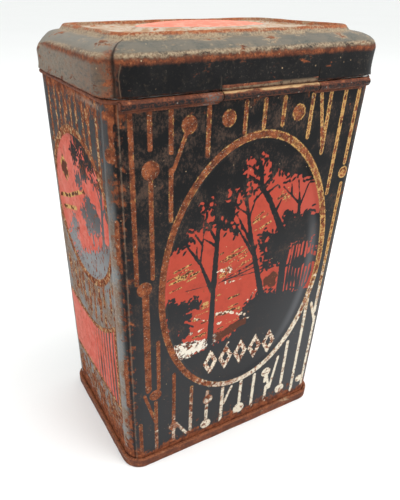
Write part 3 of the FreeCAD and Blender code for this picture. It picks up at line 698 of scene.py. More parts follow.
def make_curls(finish):
    """The wall's two curls and the lid's one between them, all round the same wire."""
    inner = -(WALL_Y - TIN / 2)
    wall_lead = [(inner + 0.05, 163.4), (inner + 0.05, CURL_TOP - TIN / 2)]
    lid_lead = [(-(LID_Y - TIN), SKIRT_FOOT + 1.6), (-(LID_Y - TIN) - 0.05, CURL_TOP - 0.1)]
    rolled_strip("curl_left", CURL_LEFT, SPLIT_LEFT, wall_lead, finish, "tin", 71)
    rolled_strip("curl_right", SPLIT_RIGHT, CURL_RIGHT, wall_lead, finish, "tin", 72)
    rolled_strip("lid_curl", SPLIT_LEFT + CURL_GAP, SPLIT_RIGHT - CURL_GAP, lid_lead, finish, "lid", 73)


STEP_FOOT, STEP_INSET = 182.35, 8.25
RIDGE_TOP = 184.25
PANEL, PANEL_INSET = 182.6, 11.4
DOME = (29.0, 20.0)
DOME_RISE = LID_TOP - PANEL
# Section of the lid, as (inset, height): skirt, rounded shoulder, riser, ridge and sunk panel
LID_OUTER = [(0, SKIRT_FOOT), (0, 176.9), (0.35, 178.3), (1.2, 179.6), (2.5, 180.7), (4.5, 181.6),
             (6.5, 182.05), (STEP_INSET, STEP_FOOT), (9.6, RIDGE_TOP), (10.7, RIDGE_TOP),
             (PANEL_INSET, PANEL), (12.4, PANEL)]
LID_INNER = [(0.3, SKIRT_FOOT), (0.3, 176.8), (0.62, 178.1), (1.4, 179.3), (2.65, 180.4),
             (4.6, 181.3), (6.6, 181.75), (8.4, 182.05), (9.75, 183.95), (10.55, 183.95),
             (11.15, PANEL - TIN), (12.4, PANEL - TIN)]
CORNER_EASE = 0.3                                      # how much a corner tightens per mm of inset


def lid_outline(place, inset, up):
    """The lid's outline at an inset: its corner radius shrinks by CORNER_EASE times the inset."""
    return outline_points(place, LID_X - inset, LID_Y - inset, LID_CORNER - CORNER_EASE * inset, up)


def lid_face(place, profile, lower, panel_rows, dome_rows):
    """Rows from the middle of the dome out to the skirt's foot. The dome is a flat ellipsoid, the
    panel blends from its oval to the rounded rectangle, and the rest follows the profile."""
    inset, up = profile[::-1, 0], profile[::-1, 1]
    edge = lid_outline(place, inset[None, :], up[None, :])
    rim = edge[:, :1]
    bearing = np.arctan2(rim[..., 1] / LID_Y, rim[..., 0] / LID_X)
    half_long, half_short = DOME[0] + 1.2, DOME[1] + 1.2
    foot = np.stack([half_long * np.cos(bearing), half_short * np.sin(bearing), rim[..., 2]], axis=-1)
    share = np.linspace(0, 1, panel_rows, endpoint=False)[None, :, None]
    panel = foot * (1 - share) + rim * share
    radius = np.sin(np.linspace(0.03, math.pi / 2, dome_rows, endpoint=False))[None, :]
    height = DOME_RISE * np.sqrt(1 - radius ** 2)
    height = height * smooth(1.0, 0.93, radius) ** 0.5 + PANEL - lower
    x, y = DOME[0] * radius * np.cos(bearing), DOME[1] * radius * np.sin(bearing)
    dome = np.stack(np.broadcast_arrays(x, y, height), axis=-1)
    return np.concatenate([dome, panel, edge], axis=1)


def make_lid(finishes):
    """The lid's pressing, outer face then inner face, as one closed skin."""
    flat_x, flat_y, arc = LID_X - LID_CORNER, LID_Y - LID_CORNER, LID_CORNER * math.pi / 2
    whole = 4 * (flat_x + flat_y + arc)
    corner_start, corner_end = -flat_x - arc, -flat_x
    slits = (SPLIT_LEFT + CURL_GAP - 0.3, SPLIT_RIGHT - CURL_GAP + 0.3)
    spans = ((corner_start, corner_end, 0.18), (corner_end, slits[0] - 1, 0.75),
             (slits[0] - 1, slits[0] + 1, 0.12), (slits[0] + 1, slits[1] - 1, 0.75),
             (slits[1] - 1, slits[1] + 1, 0.12), (slits[1] + 1, whole + corner_start - 0.3, 0.9))
    along = np.concatenate([np.arange(*span) for span in spans])
    place = [part[:, None] for part in track(along, LID_X, LID_Y, LID_CORNER)]
    outer, inner = round_off(LID_OUTER, 0.55, 0.62), round_off(LID_INNER, 0.5, 2.2)
    above = lid_face(place, outer, 0, 6, 16)
    below = lid_face(place, inner, TIN, 3, 8)
    rows = np.concatenate([above, below[:, ::-1]], axis=1)
    inset = np.concatenate([lid_insets(outer, 6, 16), lid_insets(inner, 3, 8)[::-1]])[None, :]
    up = rows[..., 2]
    facing = place[2]
    crack = crack_distance(facing, up, inset)
    split = np.minimum.reduce([np.abs(along[:, None] - slit) for slit in slits])
    split = np.where(up < SKIRT_FOOT + 4.5, split, 9.0) + 0 * up
    push = lid_push(along[:, None], facing, up, inset, crack) + 0.3 * np.exp(-(split / 0.16) ** 2)
    outward = np.stack([np.cos(facing) + 0 * up, np.sin(facing) + 0 * up, 0 * up], axis=-1)
    x, y = rows[..., 0], rows[..., 1]
    sag = 0.25 * cloud(x, y, 17, 83) + 0.1 * cloud(x, y, 6, 84)
    sag = (sag + 0.0105 * (y + LID_Y)) * smooth(SHOULDER - 4, SHOULDER + 4, up)
    bent = np.exp(-((x + LID_X) ** 2 + (y - LID_Y + 6) ** 2) / 15 ** 2)
    sag = sag + 2.3 * bent * smooth(6.0, 0.5, inset) * smooth(SHOULDER - 9, SHOULDER, up)
    lift = ragged_foot(along)[:, None] * smooth(SKIRT_FOOT + 1.4, SKIRT_FOOT, up)
    lift = lift * smooth(1.2, 0.2, inset)
    rows = rows - outward * push[..., None]
    rows[..., 2] += lift - sag
    middle = oval(rows[..., 0], rows[..., 1], (0, 1.5), (DOME[0] - 2, DOME[1] - 2))
    fields = {"inset": inset + 0 * up, "crack": crack / crack_width(up), "dome": middle, "slit": split}
    return closed_loft("lid_pressing", rows, finishes, "lid", ["lid_shell"], fields,
                       inner_from=above.shape[1])


def lid_push(along, facing, up, inset, crack):
    """How far the lid's skirt is pushed in: a waist half-way up, dents, and the torn corner, whose
    left edge is bowed out at the foot."""
    skirt = smooth(1.2, 0.2, inset)
    waist = 0.4 * np.sin(np.clip((up - SKIRT_FOOT) / (SHOULDER - SKIRT_FOOT), 0, 1) * math.pi)
    near_corner = 0.5 * np.exp(-((facing - math.radians(228)) / 0.5) ** 2)
    dented = 0.26 * cloud(along, up * 1.3, 14, 81) + 0.1 * cloud(along, up, 5, 82)
    torn = 0.4 * np.exp(-(crack / 0.6) ** 2) * smooth(182.2, 181, up)
    torn = torn * smooth(SKIRT_FOOT - 3, SHOULDER - 1, up)
    bowed = 0.75 * np.exp(-((crack + 3.2) / 2.8) ** 2) * smooth(SKIRT_FOOT + 5, SKIRT_FOOT, up)
    dented = dented * smooth(SKIRT_FOOT, SKIRT_FOOT + 2, up)
    return torn + skirt * (waist * (0.4 + near_corner) + dented - bowed)


def lid_insets(profile, panel_rows, dome_rows):
    """The inset of each row that lid_face makes; on the panel and dome it only grows inwards."""
    inner = PANEL_INSET + 1 + np.linspace(20, 0, panel_rows + dome_rows)
    return np.concatenate([inner, profile[::-1, 0]])


def crack_distance(facing, up, inset):
    """Distance round the corner from the torn line, in mm: it runs up the skirt and across the
    shoulder, leaning a little, with a small wander."""
    lean = np.interp(up, [SKIRT_FOOT, 173, 177.5, 180.5, 182], [230.5, 229.3, 228.6, 227.2, 224.5])
    wander = 1.6 * (cloud(up, up * 0, 2.1, 91) - 0.5)
    turn = (facing - np.radians(lean + wander) + math.pi) % (2 * math.pi) - math.pi
    return turn * (LID_CORNER - CORNER_EASE * inset)


def crack_width(up):
    """Half the width of the tear in mm: widest just under the shoulder, closed at the step."""
    heights = [SKIRT_FOOT, 173, 176.5, 178.5, 180.5, 182, 183]
    return np.interp(up, heights, [0.8, 0.65, 1.0, 0.8, 0.5, 0.25, 0.1])


def ragged_foot(along):
    """How far the skirt's foot is lifted: waves of a third of a mm, and none where the curl hangs."""
    waves = 0.35 * cloud(along, along * 0, 8, 92) + 0.15 * cloud(along, along * 0, 2.5, 93)
    tongue = smooth(SPLIT_LEFT, SPLIT_LEFT + 1, along) * smooth(SPLIT_RIGHT, SPLIT_RIGHT - 1, along)
    return waves * (1 - tongue) - 0.35 * tongue


# Finishes

class Number:
    """A number that a shader works out. An expression on it adds the Math nodes that say the same."""

    def __init__(self, finish, socket):
        self.finish = finish
        self.socket = socket

    def maths(self, operation, *values):
        node = self.finish.node("ShaderNodeMath", dict(enumerate(values)), operation=operation)
        return Number(self.finish, node.outputs[0])

    def __add__(self, other):
        return self.maths("ADD", self, other)

    def __sub__(self, other):
        return self.maths("SUBTRACT", self, other)

    def __rsub__(self, other):
        return self.maths("SUBTRACT", other, self)

    def __mul__(self, other):
        return self.maths("MULTIPLY", self, other)

    __radd__ = __add__
    __rmul__ = __mul__

    def most(self, other):
        """The greater of the two."""
        return self.maths("MAXIMUM", self, other)

    def size(self):
        """The number without its sign."""
        return self.maths("ABSOLUTE", self)

    def rise(self, low, high):
        """0 at low, 1 at high, smooth between; low may be the higher of the two."""
        limits = {0: self, 1: min(low, high), 2: max(low, high), 3: 0.0, 4: 1.0}
        node = self.finish.node("ShaderNodeMapRange", limits, interpolation_type="SMOOTHSTEP")
        share = Number(self.finish, node.outputs[0])
        return share if low < high else 1 - share

    def near(self, value, width):
        """1 at value, falling to 0 at width away from it."""
        return (self - value).size().rise(width, 0.0)


class Finish:
    """A node material under construction. Its coordinates are object coordinates in mm."""

    def __init__(self, name):
        self.material = bpy.data.materials.new(name)
        self.material.use_nodes = True
        self.tree = self.material.node_tree
        self.tree.nodes.clear()
        place = self.node("ShaderNodeTexCoord", {}).outputs["Object"]
        scaled = self.node("ShaderNodeVectorMath", {0: place, "Scale": 1 / MM}, operation="SCALE")
        self.place = scaled.outputs[0]
        split = self.node("ShaderNodeSeparateXYZ", {0: self.place})
        self.x, self.y, self.z = (Number(self, split.outputs[axis]) for axis in range(3))

    def node(self, kind, values, **settings):
        """Any node: its settings first, then the values or links of its sockets."""
        made = self.tree.nodes.new(kind)
        for setting, value in settings.items():
            setattr(made, setting, value)
        for socket, value in values.items():
            value = value.socket if isinstance(value, Number) else value
            if isinstance(value, bpy.types.NodeSocket):
                self.tree.links.new(value, made.inputs[socket])
            else:
                made.inputs[socket].default_value = value
        return made

    def field(self, name):
        """A piece's own numbers, one per point."""
        return Number(self, self.node("ShaderNodeAttribute", {}, attribute_name=name).outputs["Fac"])

    def noise(self, cell, detail=3.0, roughness=0.55, stretch=(1, 1, 1), shift=0.0):
        """Noise with features about cell mm wide, drawn out along the axes by stretch."""
        values = {0: self.place, 1: (shift, shift, shift), 3: tuple(1 / part for part in stretch)}
        place = self.node("ShaderNodeMapping", values).outputs[0]
        values = {"Vector": place, "Scale": 1 / cell, "Detail": detail, "Roughness": roughness}
        return Number(self, self.node("ShaderNodeTexNoise", values).outputs["Fac"])

    def specks(self, cell, size):
        """Round specks, one per cell of about cell mm, size of a cell wide."""
        values = {"Vector": self.place, "Scale": 1 / cell}
        found = Number(self, self.node("ShaderNodeTexVoronoi", values).outputs["Distance"])
        return found.rise(size, size * 0.5)

    def mix(self, share, first, second):
        """A colour share of the way from first to second."""
        values = {0: share}
        for place, colour in ((6, first), (7, second)):
            values[place] = (*colour, 1.0) if isinstance(colour, tuple) else colour
        return self.node("ShaderNodeMix", values, data_type="RGBA").outputs[2]

    def done(self, colour, roughness, height, bump=0.25, metal=0.0, level=0.5):
        """Closes the material with one Principled shader and a bump of height mm."""
        values = {"Strength": bump, "Distance": MM, "Height": height}
        normal = self.node("ShaderNodeBump", values).outputs[0]
        values = {"Base Color": colour, "Roughness": roughness, "Metallic": metal, "Normal": normal,
                  "Specular IOR Level": level}
        shader = self.node("ShaderNodeBsdfPrincipled", values)
        self.node("ShaderNodeOutputMaterial", {0: shader.outputs[0]})
        return self.material


BLACK = (0.0045, 0.0045, 0.005)
SOOT = (0.011, 0.010, 0.010)
SLATE = (0.030, 0.030, 0.032)
RED = (0.40, 0.054, 0.031)
DEEP_RED = (0.30, 0.042, 0.025)
CORAL = (0.56, 0.155, 0.120)
RUST = (0.215, 0.062, 0.026)
DARK_RUST = (0.085, 0.026, 0.014)
BRIGHT_RUST = (0.36, 0.125, 0.05)
GOLD = (0.50, 0.29, 0.10)
CREAM = (0.66, 0.59, 0.47)
TAN = (0.45, 0.32, 0.19)
STEEL = (0.42, 0.41, 0.39)


def rust_colour(finish):
    """Brown to orange rust, blotched at two sizes."""
    blotch = finish.noise(3.2, 4.0, 0.65)
    grain = finish.noise(0.8, 2.0, 0.6, shift=7.0)
    base = finish.mix(blotch.rise(0.35, 0.62), DARK_RUST, RUST)
    return finish.mix((grain * 0.6 + blotch * 0.4).rise(0.52, 0.68), base, BRIGHT_RUST)


def edge_colours(finish, lines, flake):
    """Colours of the printed lines: rusted in the middle and to the upper left, gold along their
    edges, and cream to the lower right."""
    rust = rust_colour(finish)
    eaten = finish.noise(1.3, 3.0, 0.6, shift=17.0)
    gilded = flake * 0.6 + eaten * 0.5 + finish.x * 0.0018 - lines.rise(-0.2, -0.75) * 0.09 + 0.085
    colour = finish.mix(gilded.rise(0.60, 0.68), rust, GOLD)
    chipped = finish.noise(0.7, 3.0, 0.7, shift=53.0).rise(0.60, 0.66) * 0.75
    colour = finish.mix(chipped, colour, (0.42, 0.36, 0.28))
    lower_right = finish.x * 0.006 - finish.z * 0.0075 + 0.62
    colour = finish.mix((lower_right + flake * 0.9).rise(0.68, 0.92), colour, CREAM)
    bitten = (eaten * 0.7 + flake * 0.3 + lower_right * 0.02).rise(0.55, 0.60)
    return finish.mix(bitten * 0.85, colour, rust)


def put_details(finish, colour, flake, fray, glints, shore, marks):
    """Adds the light on clouds and water, the shore's worn band and the row of leaf marks."""
    rust = rust_colour(finish)
    speck = finish.noise(0.85, 3.0, 0.65, shift=31.0)
    dash = finish.mix((flake + speck * 0.4).rise(0.76, 0.84), GOLD, CREAM)
    darkened = (speck * 0.6 + flake * 0.4 - glints * 0.2).rise(0.49, 0.54)
    dash = finish.mix(darkened, dash, (0.075, 0.028, 0.015))
    colour = finish.mix((glints + fray).rise(0.12, -0.18), colour, dash)
    eaten = finish.mix(speck.rise(0.5, 0.56), SLATE, rust)
    left = (speck * 0.5 + flake * 0.5 + shore * 0.02 + 0.02).rise(0.48, 0.53)
    left = finish.mix(left, (0.70, 0.64, 0.54), eaten)
    right = finish.mix(speck.rise(0.58, 0.66), DARK_RUST, rust)
    band = finish.mix((finish.x + flake * 12.0).rise(-9.0, -4.0), left, right)
    colour = finish.mix((shore + fray * 1.3 + (speck - 0.5) * 1.4).rise(0.3, -0.2), colour, band)
    mark = finish.mix((speck * 0.6 + flake * 0.4).rise(0.475, 0.53), (0.68, 0.58, 0.45), rust)
    return finish.mix((marks + fray * 1.3).rise(0.15, -0.2), colour, mark)


def printed_finish():
    """Black, red and gold print on the long sides, worn to rust: each drawing's distance field, made
    ragged by noise, is the mask of its ink."""
    finish = Finish("printed_tinplate")
    names = ("lines", "red", "glints", "shore", "marks", "edge", "rust", "seam")
    lines, red, glints, shore, marks, edge, rust_field, seam = (finish.field(name) for name in names)
    fray = finish.noise(0.8, 3.0, 0.65) - 0.5
    flake = finish.noise(2.4, 4.0, 0.6, shift=3.0)
    patch = finish.noise(9.0, 4.0, 0.6, shift=11.0)
    rust = rust_colour(finish)

    ink_and_sheen = finish.mix(patch.rise(0.4, 0.7), BLACK, SOOT)
    # Painted sheen: the black is lightened towards the bottom and towards the lower right.
    ink_and_sheen = finish.mix(finish.z.rise(150.0, 45.0) * 0.85, ink_and_sheen, SLATE)
    lower_right = finish.x.rise(5.0, 52.0) * finish.z.rise(120.0, 50.0)
    ink_and_sheen = finish.mix(lower_right * 0.5, ink_and_sheen, (0.075, 0.077, 0.082))
    # Painted sheen: a grey band on the sunk oval's inner slope, at its lower right.
    sheen = edge.near(-3.0, 4.2) * finish.x.rise(16.0, 38.0) * finish.z.rise(122.0, 100.0)
    ink_and_sheen = finish.mix(sheen * 0.5, ink_and_sheen, (0.14, 0.142, 0.15))
    grime = finish.noise(0.8, 5.0, 0.8, stretch=(1, 1, 1.4), shift=41.0)
    brown = (grime + patch * 0.9 + finish.z * 0.0012 - finish.x * 0.0008).rise(1.12, 1.34)
    ink_and_sheen = finish.mix(brown * 0.6, ink_and_sheen, (0.095, 0.055, 0.038))
    ink_and_sheen = finish.mix(finish.x.rise(-53.2, -54.8), ink_and_sheen, faded_ground(finish, patch))
    red_mask = (red + fray * 0.35).rise(0.12, -0.12)
    red_ink = finish.mix(finish.noise(5.0, 5.0, 0.7, shift=5.0).rise(0.45, 0.75), RED, DEEP_RED)
    red_ink = finish.mix(finish.x.rise(10.0, 48.0) * 0.35, red_ink, (0.45, 0.11, 0.085))
    colour = finish.mix(red_mask, ink_and_sheen, red_ink)

    line_mask = (lines + fray * 0.9).rise(0.2, -0.25)
    colour = finish.mix(line_mask, colour, edge_colours(finish, lines, flake))
    colour = put_details(finish, colour, flake, fray, glints, shore, marks)

    scuff = finish.noise(1.3, 4.0, 0.7, stretch=(1, 1, 1.6), shift=23.0)
    rust_mask = (rust_field + flake * 0.9 + patch * 0.5 + scuff * 0.5).rise(1.3, 1.48)
    colour = finish.mix(rust_mask, colour, rust)
    # Painted shadow: a black band on the lap just inside the lock seam's edge.
    colour = finish.mix(seam.near(-0.8, 0.75) * 0.75, colour, BLACK)
    ridge = seam.near(0.1, 0.42) * (flake + scuff).rise(0.7, 1.1) * 0.75
    colour = finish.mix(ridge, colour, (0.17, 0.115, 0.08))
    fleck = finish.specks(3.1, 0.09) * flake.rise(0.5, 0.6) * 0.8
    colour = finish.mix(fleck, colour, TAN)
    worn = line_mask.most(rust_mask)
    roughness = 0.44 + worn * 0.36 + patch * 0.12
    height = worn * (flake * 0.12 + fray * 0.1) + finish.noise(0.5, 2.0) * 0.02
    return finish.done(colour, roughness, height, 0.5, level=0.12)


def faded_ground(finish, patch):
    """The mottled grey and brown that the black has faded to on the short sides."""
    ground = finish.mix(patch.rise(0.40, 0.56), (0.165, 0.175, 0.180), (0.175, 0.120, 0.085))
    grain = finish.noise(0.9, 4.0, 0.7, shift=29.0)
    ground = finish.mix(grain.rise(0.48, 0.66), ground, (0.28, 0.22, 0.17))
    return finish.mix((finish.z + patch * 14).rise(118.0, 160.0) * 0.9, ground, (0.026, 0.027, 0.030))


def weathered_finish():
    """The same print on the short sides, where most of the black has faded to a mottled grey."""
    finish = Finish("weathered_tinplate")
    lines, red, glints, edge, rust_field = (
        finish.field(name) for name in ("lines", "red", "glints", "edge", "rust"))
    fray = finish.noise(0.9, 3.0, 0.65) - 0.5
    flake = finish.noise(2.4, 4.0, 0.6, shift=3.0)
    patch = finish.noise(9.0, 4.0, 0.6, shift=11.0)
    rust = rust_colour(finish)
    # Painted shade in the sunk oval: lighter low down, darker upwards, near-black under its top edge.
    painted_shade = finish.mix(finish.z.rise(98.0, 124.0), (0.215, 0.220, 0.225), (0.075, 0.077, 0.081))
    painted_shade = finish.mix((finish.z + patch * 10).rise(134.0, 146.0), painted_shade, (0.014, 0.014, 0.015))
    ground = finish.mix(edge.rise(0.4, -0.4), faded_ground(finish, patch), painted_shade)
    dark_line = red.near(0.6, 1.0) * finish.z.rise(84.0, 74.0)
    ground = finish.mix(dark_line * 0.85, ground, (0.040, 0.026, 0.022))
    red_mask = (red + fray * 0.6).rise(0.15, -0.15)
    mottle = finish.noise(5.0, 5.0, 0.7, shift=5.0)
    red_ink = finish.mix(mottle.rise(0.4, 0.7), (0.50, 0.085, 0.058), CORAL)
    # Painted glare: the red grows paler and pinker towards the far edge.
    painted_glare = finish.y.rise(-10.0, 36.0)
    red_ink = finish.mix(painted_glare * 0.3, red_ink, (0.56, 0.25, 0.20))
    worn_red = finish.noise(5.0, 5.0, 0.75, shift=43.0) + finish.z.near(72.0, 30.0) * 0.05
    red_ink = finish.mix(worn_red.rise(0.55, 0.72) * 0.6, red_ink, (0.20, 0.105, 0.075))
    colour = finish.mix(red_mask, ground, red_ink)
    # Painted shadow: near-black along the sunk oval's upper inner edge, on its nearer half.
    upper_shade = edge.near(-0.6, 3.0) * finish.z.rise(112.0, 132.0) * finish.y.rise(16.0, -6.0)
    colour = finish.mix(upper_shade * 0.85, colour, (0.016, 0.015, 0.015))
    line_mask = (lines + fray * 1.3).rise(0.25, -0.3)
    grainy = finish.noise(1.1, 3.0, 0.7, shift=47.0)
    gold_tone = finish.mix((flake * 0.5 + grainy * 0.5).rise(0.505, 0.56), rust, (0.42, 0.27, 0.14))
    colour = finish.mix(line_mask, colour, gold_tone)
    dash = finish.mix((flake - glints * 0.12).rise(0.52, 0.58), GOLD, DARK_RUST)
    colour = finish.mix((glints + fray * 0.8).rise(0.15, -0.2), colour, dash)
    scuff = finish.noise(1.3, 4.0, 0.7, stretch=(1, 1, 1.6), shift=23.0)
    low_down = finish.z.rise(36.0, 24.0) * 0.06
    rust_mask = (rust_field + flake * 0.5 + patch * 0.4 + scuff * 1.1 + low_down).rise(1.30, 1.42)
    colour = finish.mix(rust_mask * (1 - red_mask * 0.7), colour, rust)
    worn_edge = finish.z.near(WALL_TOP - 2.6, 1.6) * finish.y.rise(10.0, -25.0) * scuff.rise(0.4, 0.55)
    colour = finish.mix(worn_edge * 0.5, colour, (0.30, 0.26, 0.21))
    worn = line_mask.most(rust_mask)
    roughness = 0.6 + worn * 0.2
    height = worn * (flake * 0.12 + fray * 0.1) + finish.noise(0.5, 2.0) * 0.02
    return finish.done(colour, roughness, height, 0.5, level=0.03)


def inner_finish():
    """The unprinted inside of the tinplate: dull grey metal with rust blooms."""
    finish = Finish("inside_tinplate")
    bloom = finish.noise(7.0, 5.0, 0.65).rise(0.5, 0.68)
    spangle = finish.noise(1.6, 2.0, 0.5, shift=4.0)
    steel = finish.mix(spangle, (0.30, 0.29, 0.27), STEEL)
    colour = finish.mix(bloom, steel, rust_colour(finish))
    height = bloom * finish.noise(1.0) * 0.1
    return finish.done(colour, 0.38 + bloom * 0.45, height, 0.4, metal=0.85 - bloom * 0.8)


def rusted_finish():
    """Bare rusted tinplate of the bottom seam, the bead and the wire, dark brown with rubbed spots."""
    finish = Finish("rusted_seam")
    rubbed = finish.noise(4.0, 5.0, 0.7, stretch=(3, 3, 0.5), shift=2.0) + finish.noise(1.1, 2.0) * 0.25
    mask = rubbed.rise(0.74, 0.86)
    pits = finish.noise(0.7, 3.0, 0.7, shift=9.0)
    colour = finish.mix(pits.rise(0.62, 0.45), DARK_RUST, rust_colour(finish))
    colour = finish.mix(finish.noise(6.0, 3.0, shift=21.0).rise(0.4, 0.65) * 0.6, colour, DARK_RUST)
    # Rust, brightened along the seam's top edge as a painted highlight.
    upper = finish.z.near(RIM_HEIGHT, 1.1) * pits.rise(0.42, 0.58)
    colour = finish.mix(upper * 0.6, colour, BRIGHT_RUST)
    colour = finish.mix(mask * 0.7, colour, TAN)
    height = pits * 0.16 + rubbed * 0.1
    return finish.done(colour, 0.8 - mask * 0.25, height, 0.6, metal=mask * 0.3, level=0.25)


def curl_finish():
    """The rolled hinge curls: rusted along the top, dark in the middle and rubbed grey near the split,
    with a painted grey highlight on the right curl, and on the lid's own curl a painted gold
    highlight along its top and a painted shade line in its crease."""
    finish = Finish("rolled_curls")
    pits = finish.noise(0.9, 3.0, 0.7, shift=9.0)
    wear = finish.noise(3.0, 4.0, 0.65, stretch=(3, 1, 0.6), shift=2.0)
    level = finish.z - PIN_Z + (wear - 0.5) * 1.6
    dark = finish.mix(pits.rise(0.45, 0.6), (0.012, 0.010, 0.010), DARK_RUST)
    rust = finish.mix(pits.rise(0.6, 0.45), DARK_RUST, rust_colour(finish))
    colour = finish.mix((level.rise(0.3, 0.8) * 0.9).most(level.rise(-0.9, -1.2) * 0.6), dark, rust)
    speck = finish.specks(2.3, 0.16) * wear.rise(0.45, 0.6)
    colour = finish.mix(speck, colour, (0.28, 0.24, 0.2))
    lid_part = (finish.x - (SPLIT_LEFT + SPLIT_RIGHT) / 2).size().rise(21.0, 20.0)
    # Painted highlight: gold along the top of the lid's own curl.
    gold_tone = level.near(1.15, 0.5) * lid_part * wear.rise(0.35, 0.55)
    colour = finish.mix(gold_tone, colour, (0.52, 0.33, 0.16))
    rubbed = finish.x.near(SPLIT_LEFT - 4.0, 5.0) * wear.rise(0.4, 0.55)
    # Painted highlight: grey just below the middle of the right curl, joined to the rubbed patch.
    right_curl_highlight = (finish.x + pits * 6.0).rise(26.0, 32.0) * level.near(-0.5, 0.6)
    rubbed = rubbed.most(right_curl_highlight * wear.rise(0.45, 0.6))
    rubbed_and_highlight_colour = finish.mix(pits.rise(0.42, 0.56), (0.15, 0.135, 0.125), RUST)
    colour = finish.mix(rubbed * (1 - lid_part) * 0.7, colour, rubbed_and_highlight_colour)
    # Painted shade: a near-black line in the crease below the middle of the lid's curl.
    colour = finish.mix(level.near(-0.35, 0.3) * lid_part * 0.8, colour, (0.014, 0.010, 0.009))
    return finish.done(colour, 0.75 - rubbed * 0.3, pits * 0.15 + wear * 0.1, 0.6, level=0.2)


def lid_ground(finish, inset, left, patch, grain):
    """The lid's paint: black on the skirt, dull brown left of the torn corner, grey on the shoulder."""
    skirt = finish.mix(patch.rise(0.35, 0.7), BLACK, SOOT)
    skirt = finish.mix((grain + patch * 0.3).rise(0.74, 0.86) * 0.5, skirt, (0.12, 0.10, 0.075))
    dull = finish.mix(grain.rise(0.35, 0.65), (0.125, 0.095, 0.067), (0.19, 0.155, 0.115))
    dull = finish.mix(finish.y.rise(5.0, -36.0) * 0.65, dull, (0.100, 0.060, 0.040))
    runs = finish.noise(2.6, 4.0, 0.7, stretch=(1, 1, 0.4), shift=57.0)
    dull = finish.mix(runs.rise(0.52, 0.62) * 0.55, dull, (0.19, 0.095, 0.055))
    dull = finish.mix(runs.rise(0.46, 0.38) * 0.5, dull, (0.045, 0.043, 0.042))
    skirt = finish.mix(left * 0.95, skirt, dull)
    shoulder = finish.mix(grain.rise(0.35, 0.65), (0.080, 0.081, 0.070), (0.130, 0.122, 0.098))
    shoulder = finish.mix(patch.rise(0.35, 0.6), shoulder, (0.145, 0.127, 0.10))
    shoulder = finish.mix(left * 0.4, shoulder, (0.22, 0.19, 0.15))
    return finish.mix(inset.rise(0.7, 1.8), skirt, shoulder)


def put_foot_highlight(finish, colour, flake, fray):
    """Adds a painted highlight: a thin tan line along the skirt's foot, over the lid's own curl."""
    highlight = (finish.z + fray * 1.2).near(SKIRT_FOOT + 0.7, 1.1) * finish.y.rise(0.0, -5.0)
    over_curl = finish.x.near((SPLIT_LEFT + SPLIT_RIGHT) / 2, 22.5).rise(0.0, 0.1)
    highlight = highlight * over_curl * flake.rise(0.30, 0.55)
    return finish.mix(highlight * 0.7, colour, (0.27, 0.185, 0.115))


def put_lid_top(finish, colour, ridge, inset, dome, streak, grain, fray, tan):
    """Adds the rusted ridge, the rubbed panel and the red oval on the dome, with its grey edge."""
    ridge_colour = finish.mix(grain.rise(0.4, 0.6), RUST, BRIGHT_RUST)
    ridge_colour = finish.mix((streak + grain * 0.4).rise(0.68, 0.82) * 0.8, ridge_colour, tan)
    colour = finish.mix(ridge, colour, ridge_colour)
    panel_colour = finish.mix(streak.rise(0.42, 0.56), (0.36, 0.215, 0.125), (0.47, 0.39, 0.30))
    panel_colour = finish.mix((streak + fray * 0.4).rise(0.58, 0.66), panel_colour, BRIGHT_RUST)
    panel = (inset + fray * 0.5).rise(PANEL_INSET - 0.4, PANEL_INSET)
    colour = finish.mix(panel, colour, panel_colour)
    mottle = finish.noise(3.0, 4.0, 0.7, shift=19.0)
    # Red paint, lightened to pale pink as a painted reflection.
    red = finish.mix(mottle.rise(0.45, 0.65), (0.76, 0.20, 0.135), (0.84, 0.31, 0.225))
    colour = finish.mix((dome + fray * 0.8).rise(-0.4, -1.0), colour, red)
    return finish.mix(dome.near(0.1, 0.8) * 0.5, colour, (0.33, 0.29, 0.27))


def put_tear(finish, colour, torn, crack, slit, flake, grain):
    """Adds the rust beside the torn corner, the tear, its burr, and the slits by the lid's curl; the
    tear and the slits are painted dark as shade.
    """
    near_tear = (crack + 2.0).near(0.0, 6.0) * (finish.z + flake * 5.0).rise(185.5, 182.0)
    brown = finish.mix(grain.rise(0.6, 0.5), DARK_RUST, RUST)
    colour = finish.mix(near_tear * (flake + grain * 0.4).rise(0.58, 0.8) * 0.85, colour, brown)
    # Painted shade: the tear is coloured near-black.
    colour = finish.mix(torn * 0.96, colour, (0.018, 0.010, 0.007))
    burr = crack.near(2.4, 0.4) * finish.z.rise(SHOULDER, SHOULDER - 2)
    colour = finish.mix(burr * 0.6, colour, (0.15, 0.095, 0.06))
    # Painted shade: the slits are coloured dark, darker to the right.
    gap = finish.mix(finish.x.rise(0.0, 1.0), (0.045, 0.036, 0.030), (0.012, 0.009, 0.008))
    return finish.mix(slit.rise(0.35, 0.15), colour, gap)


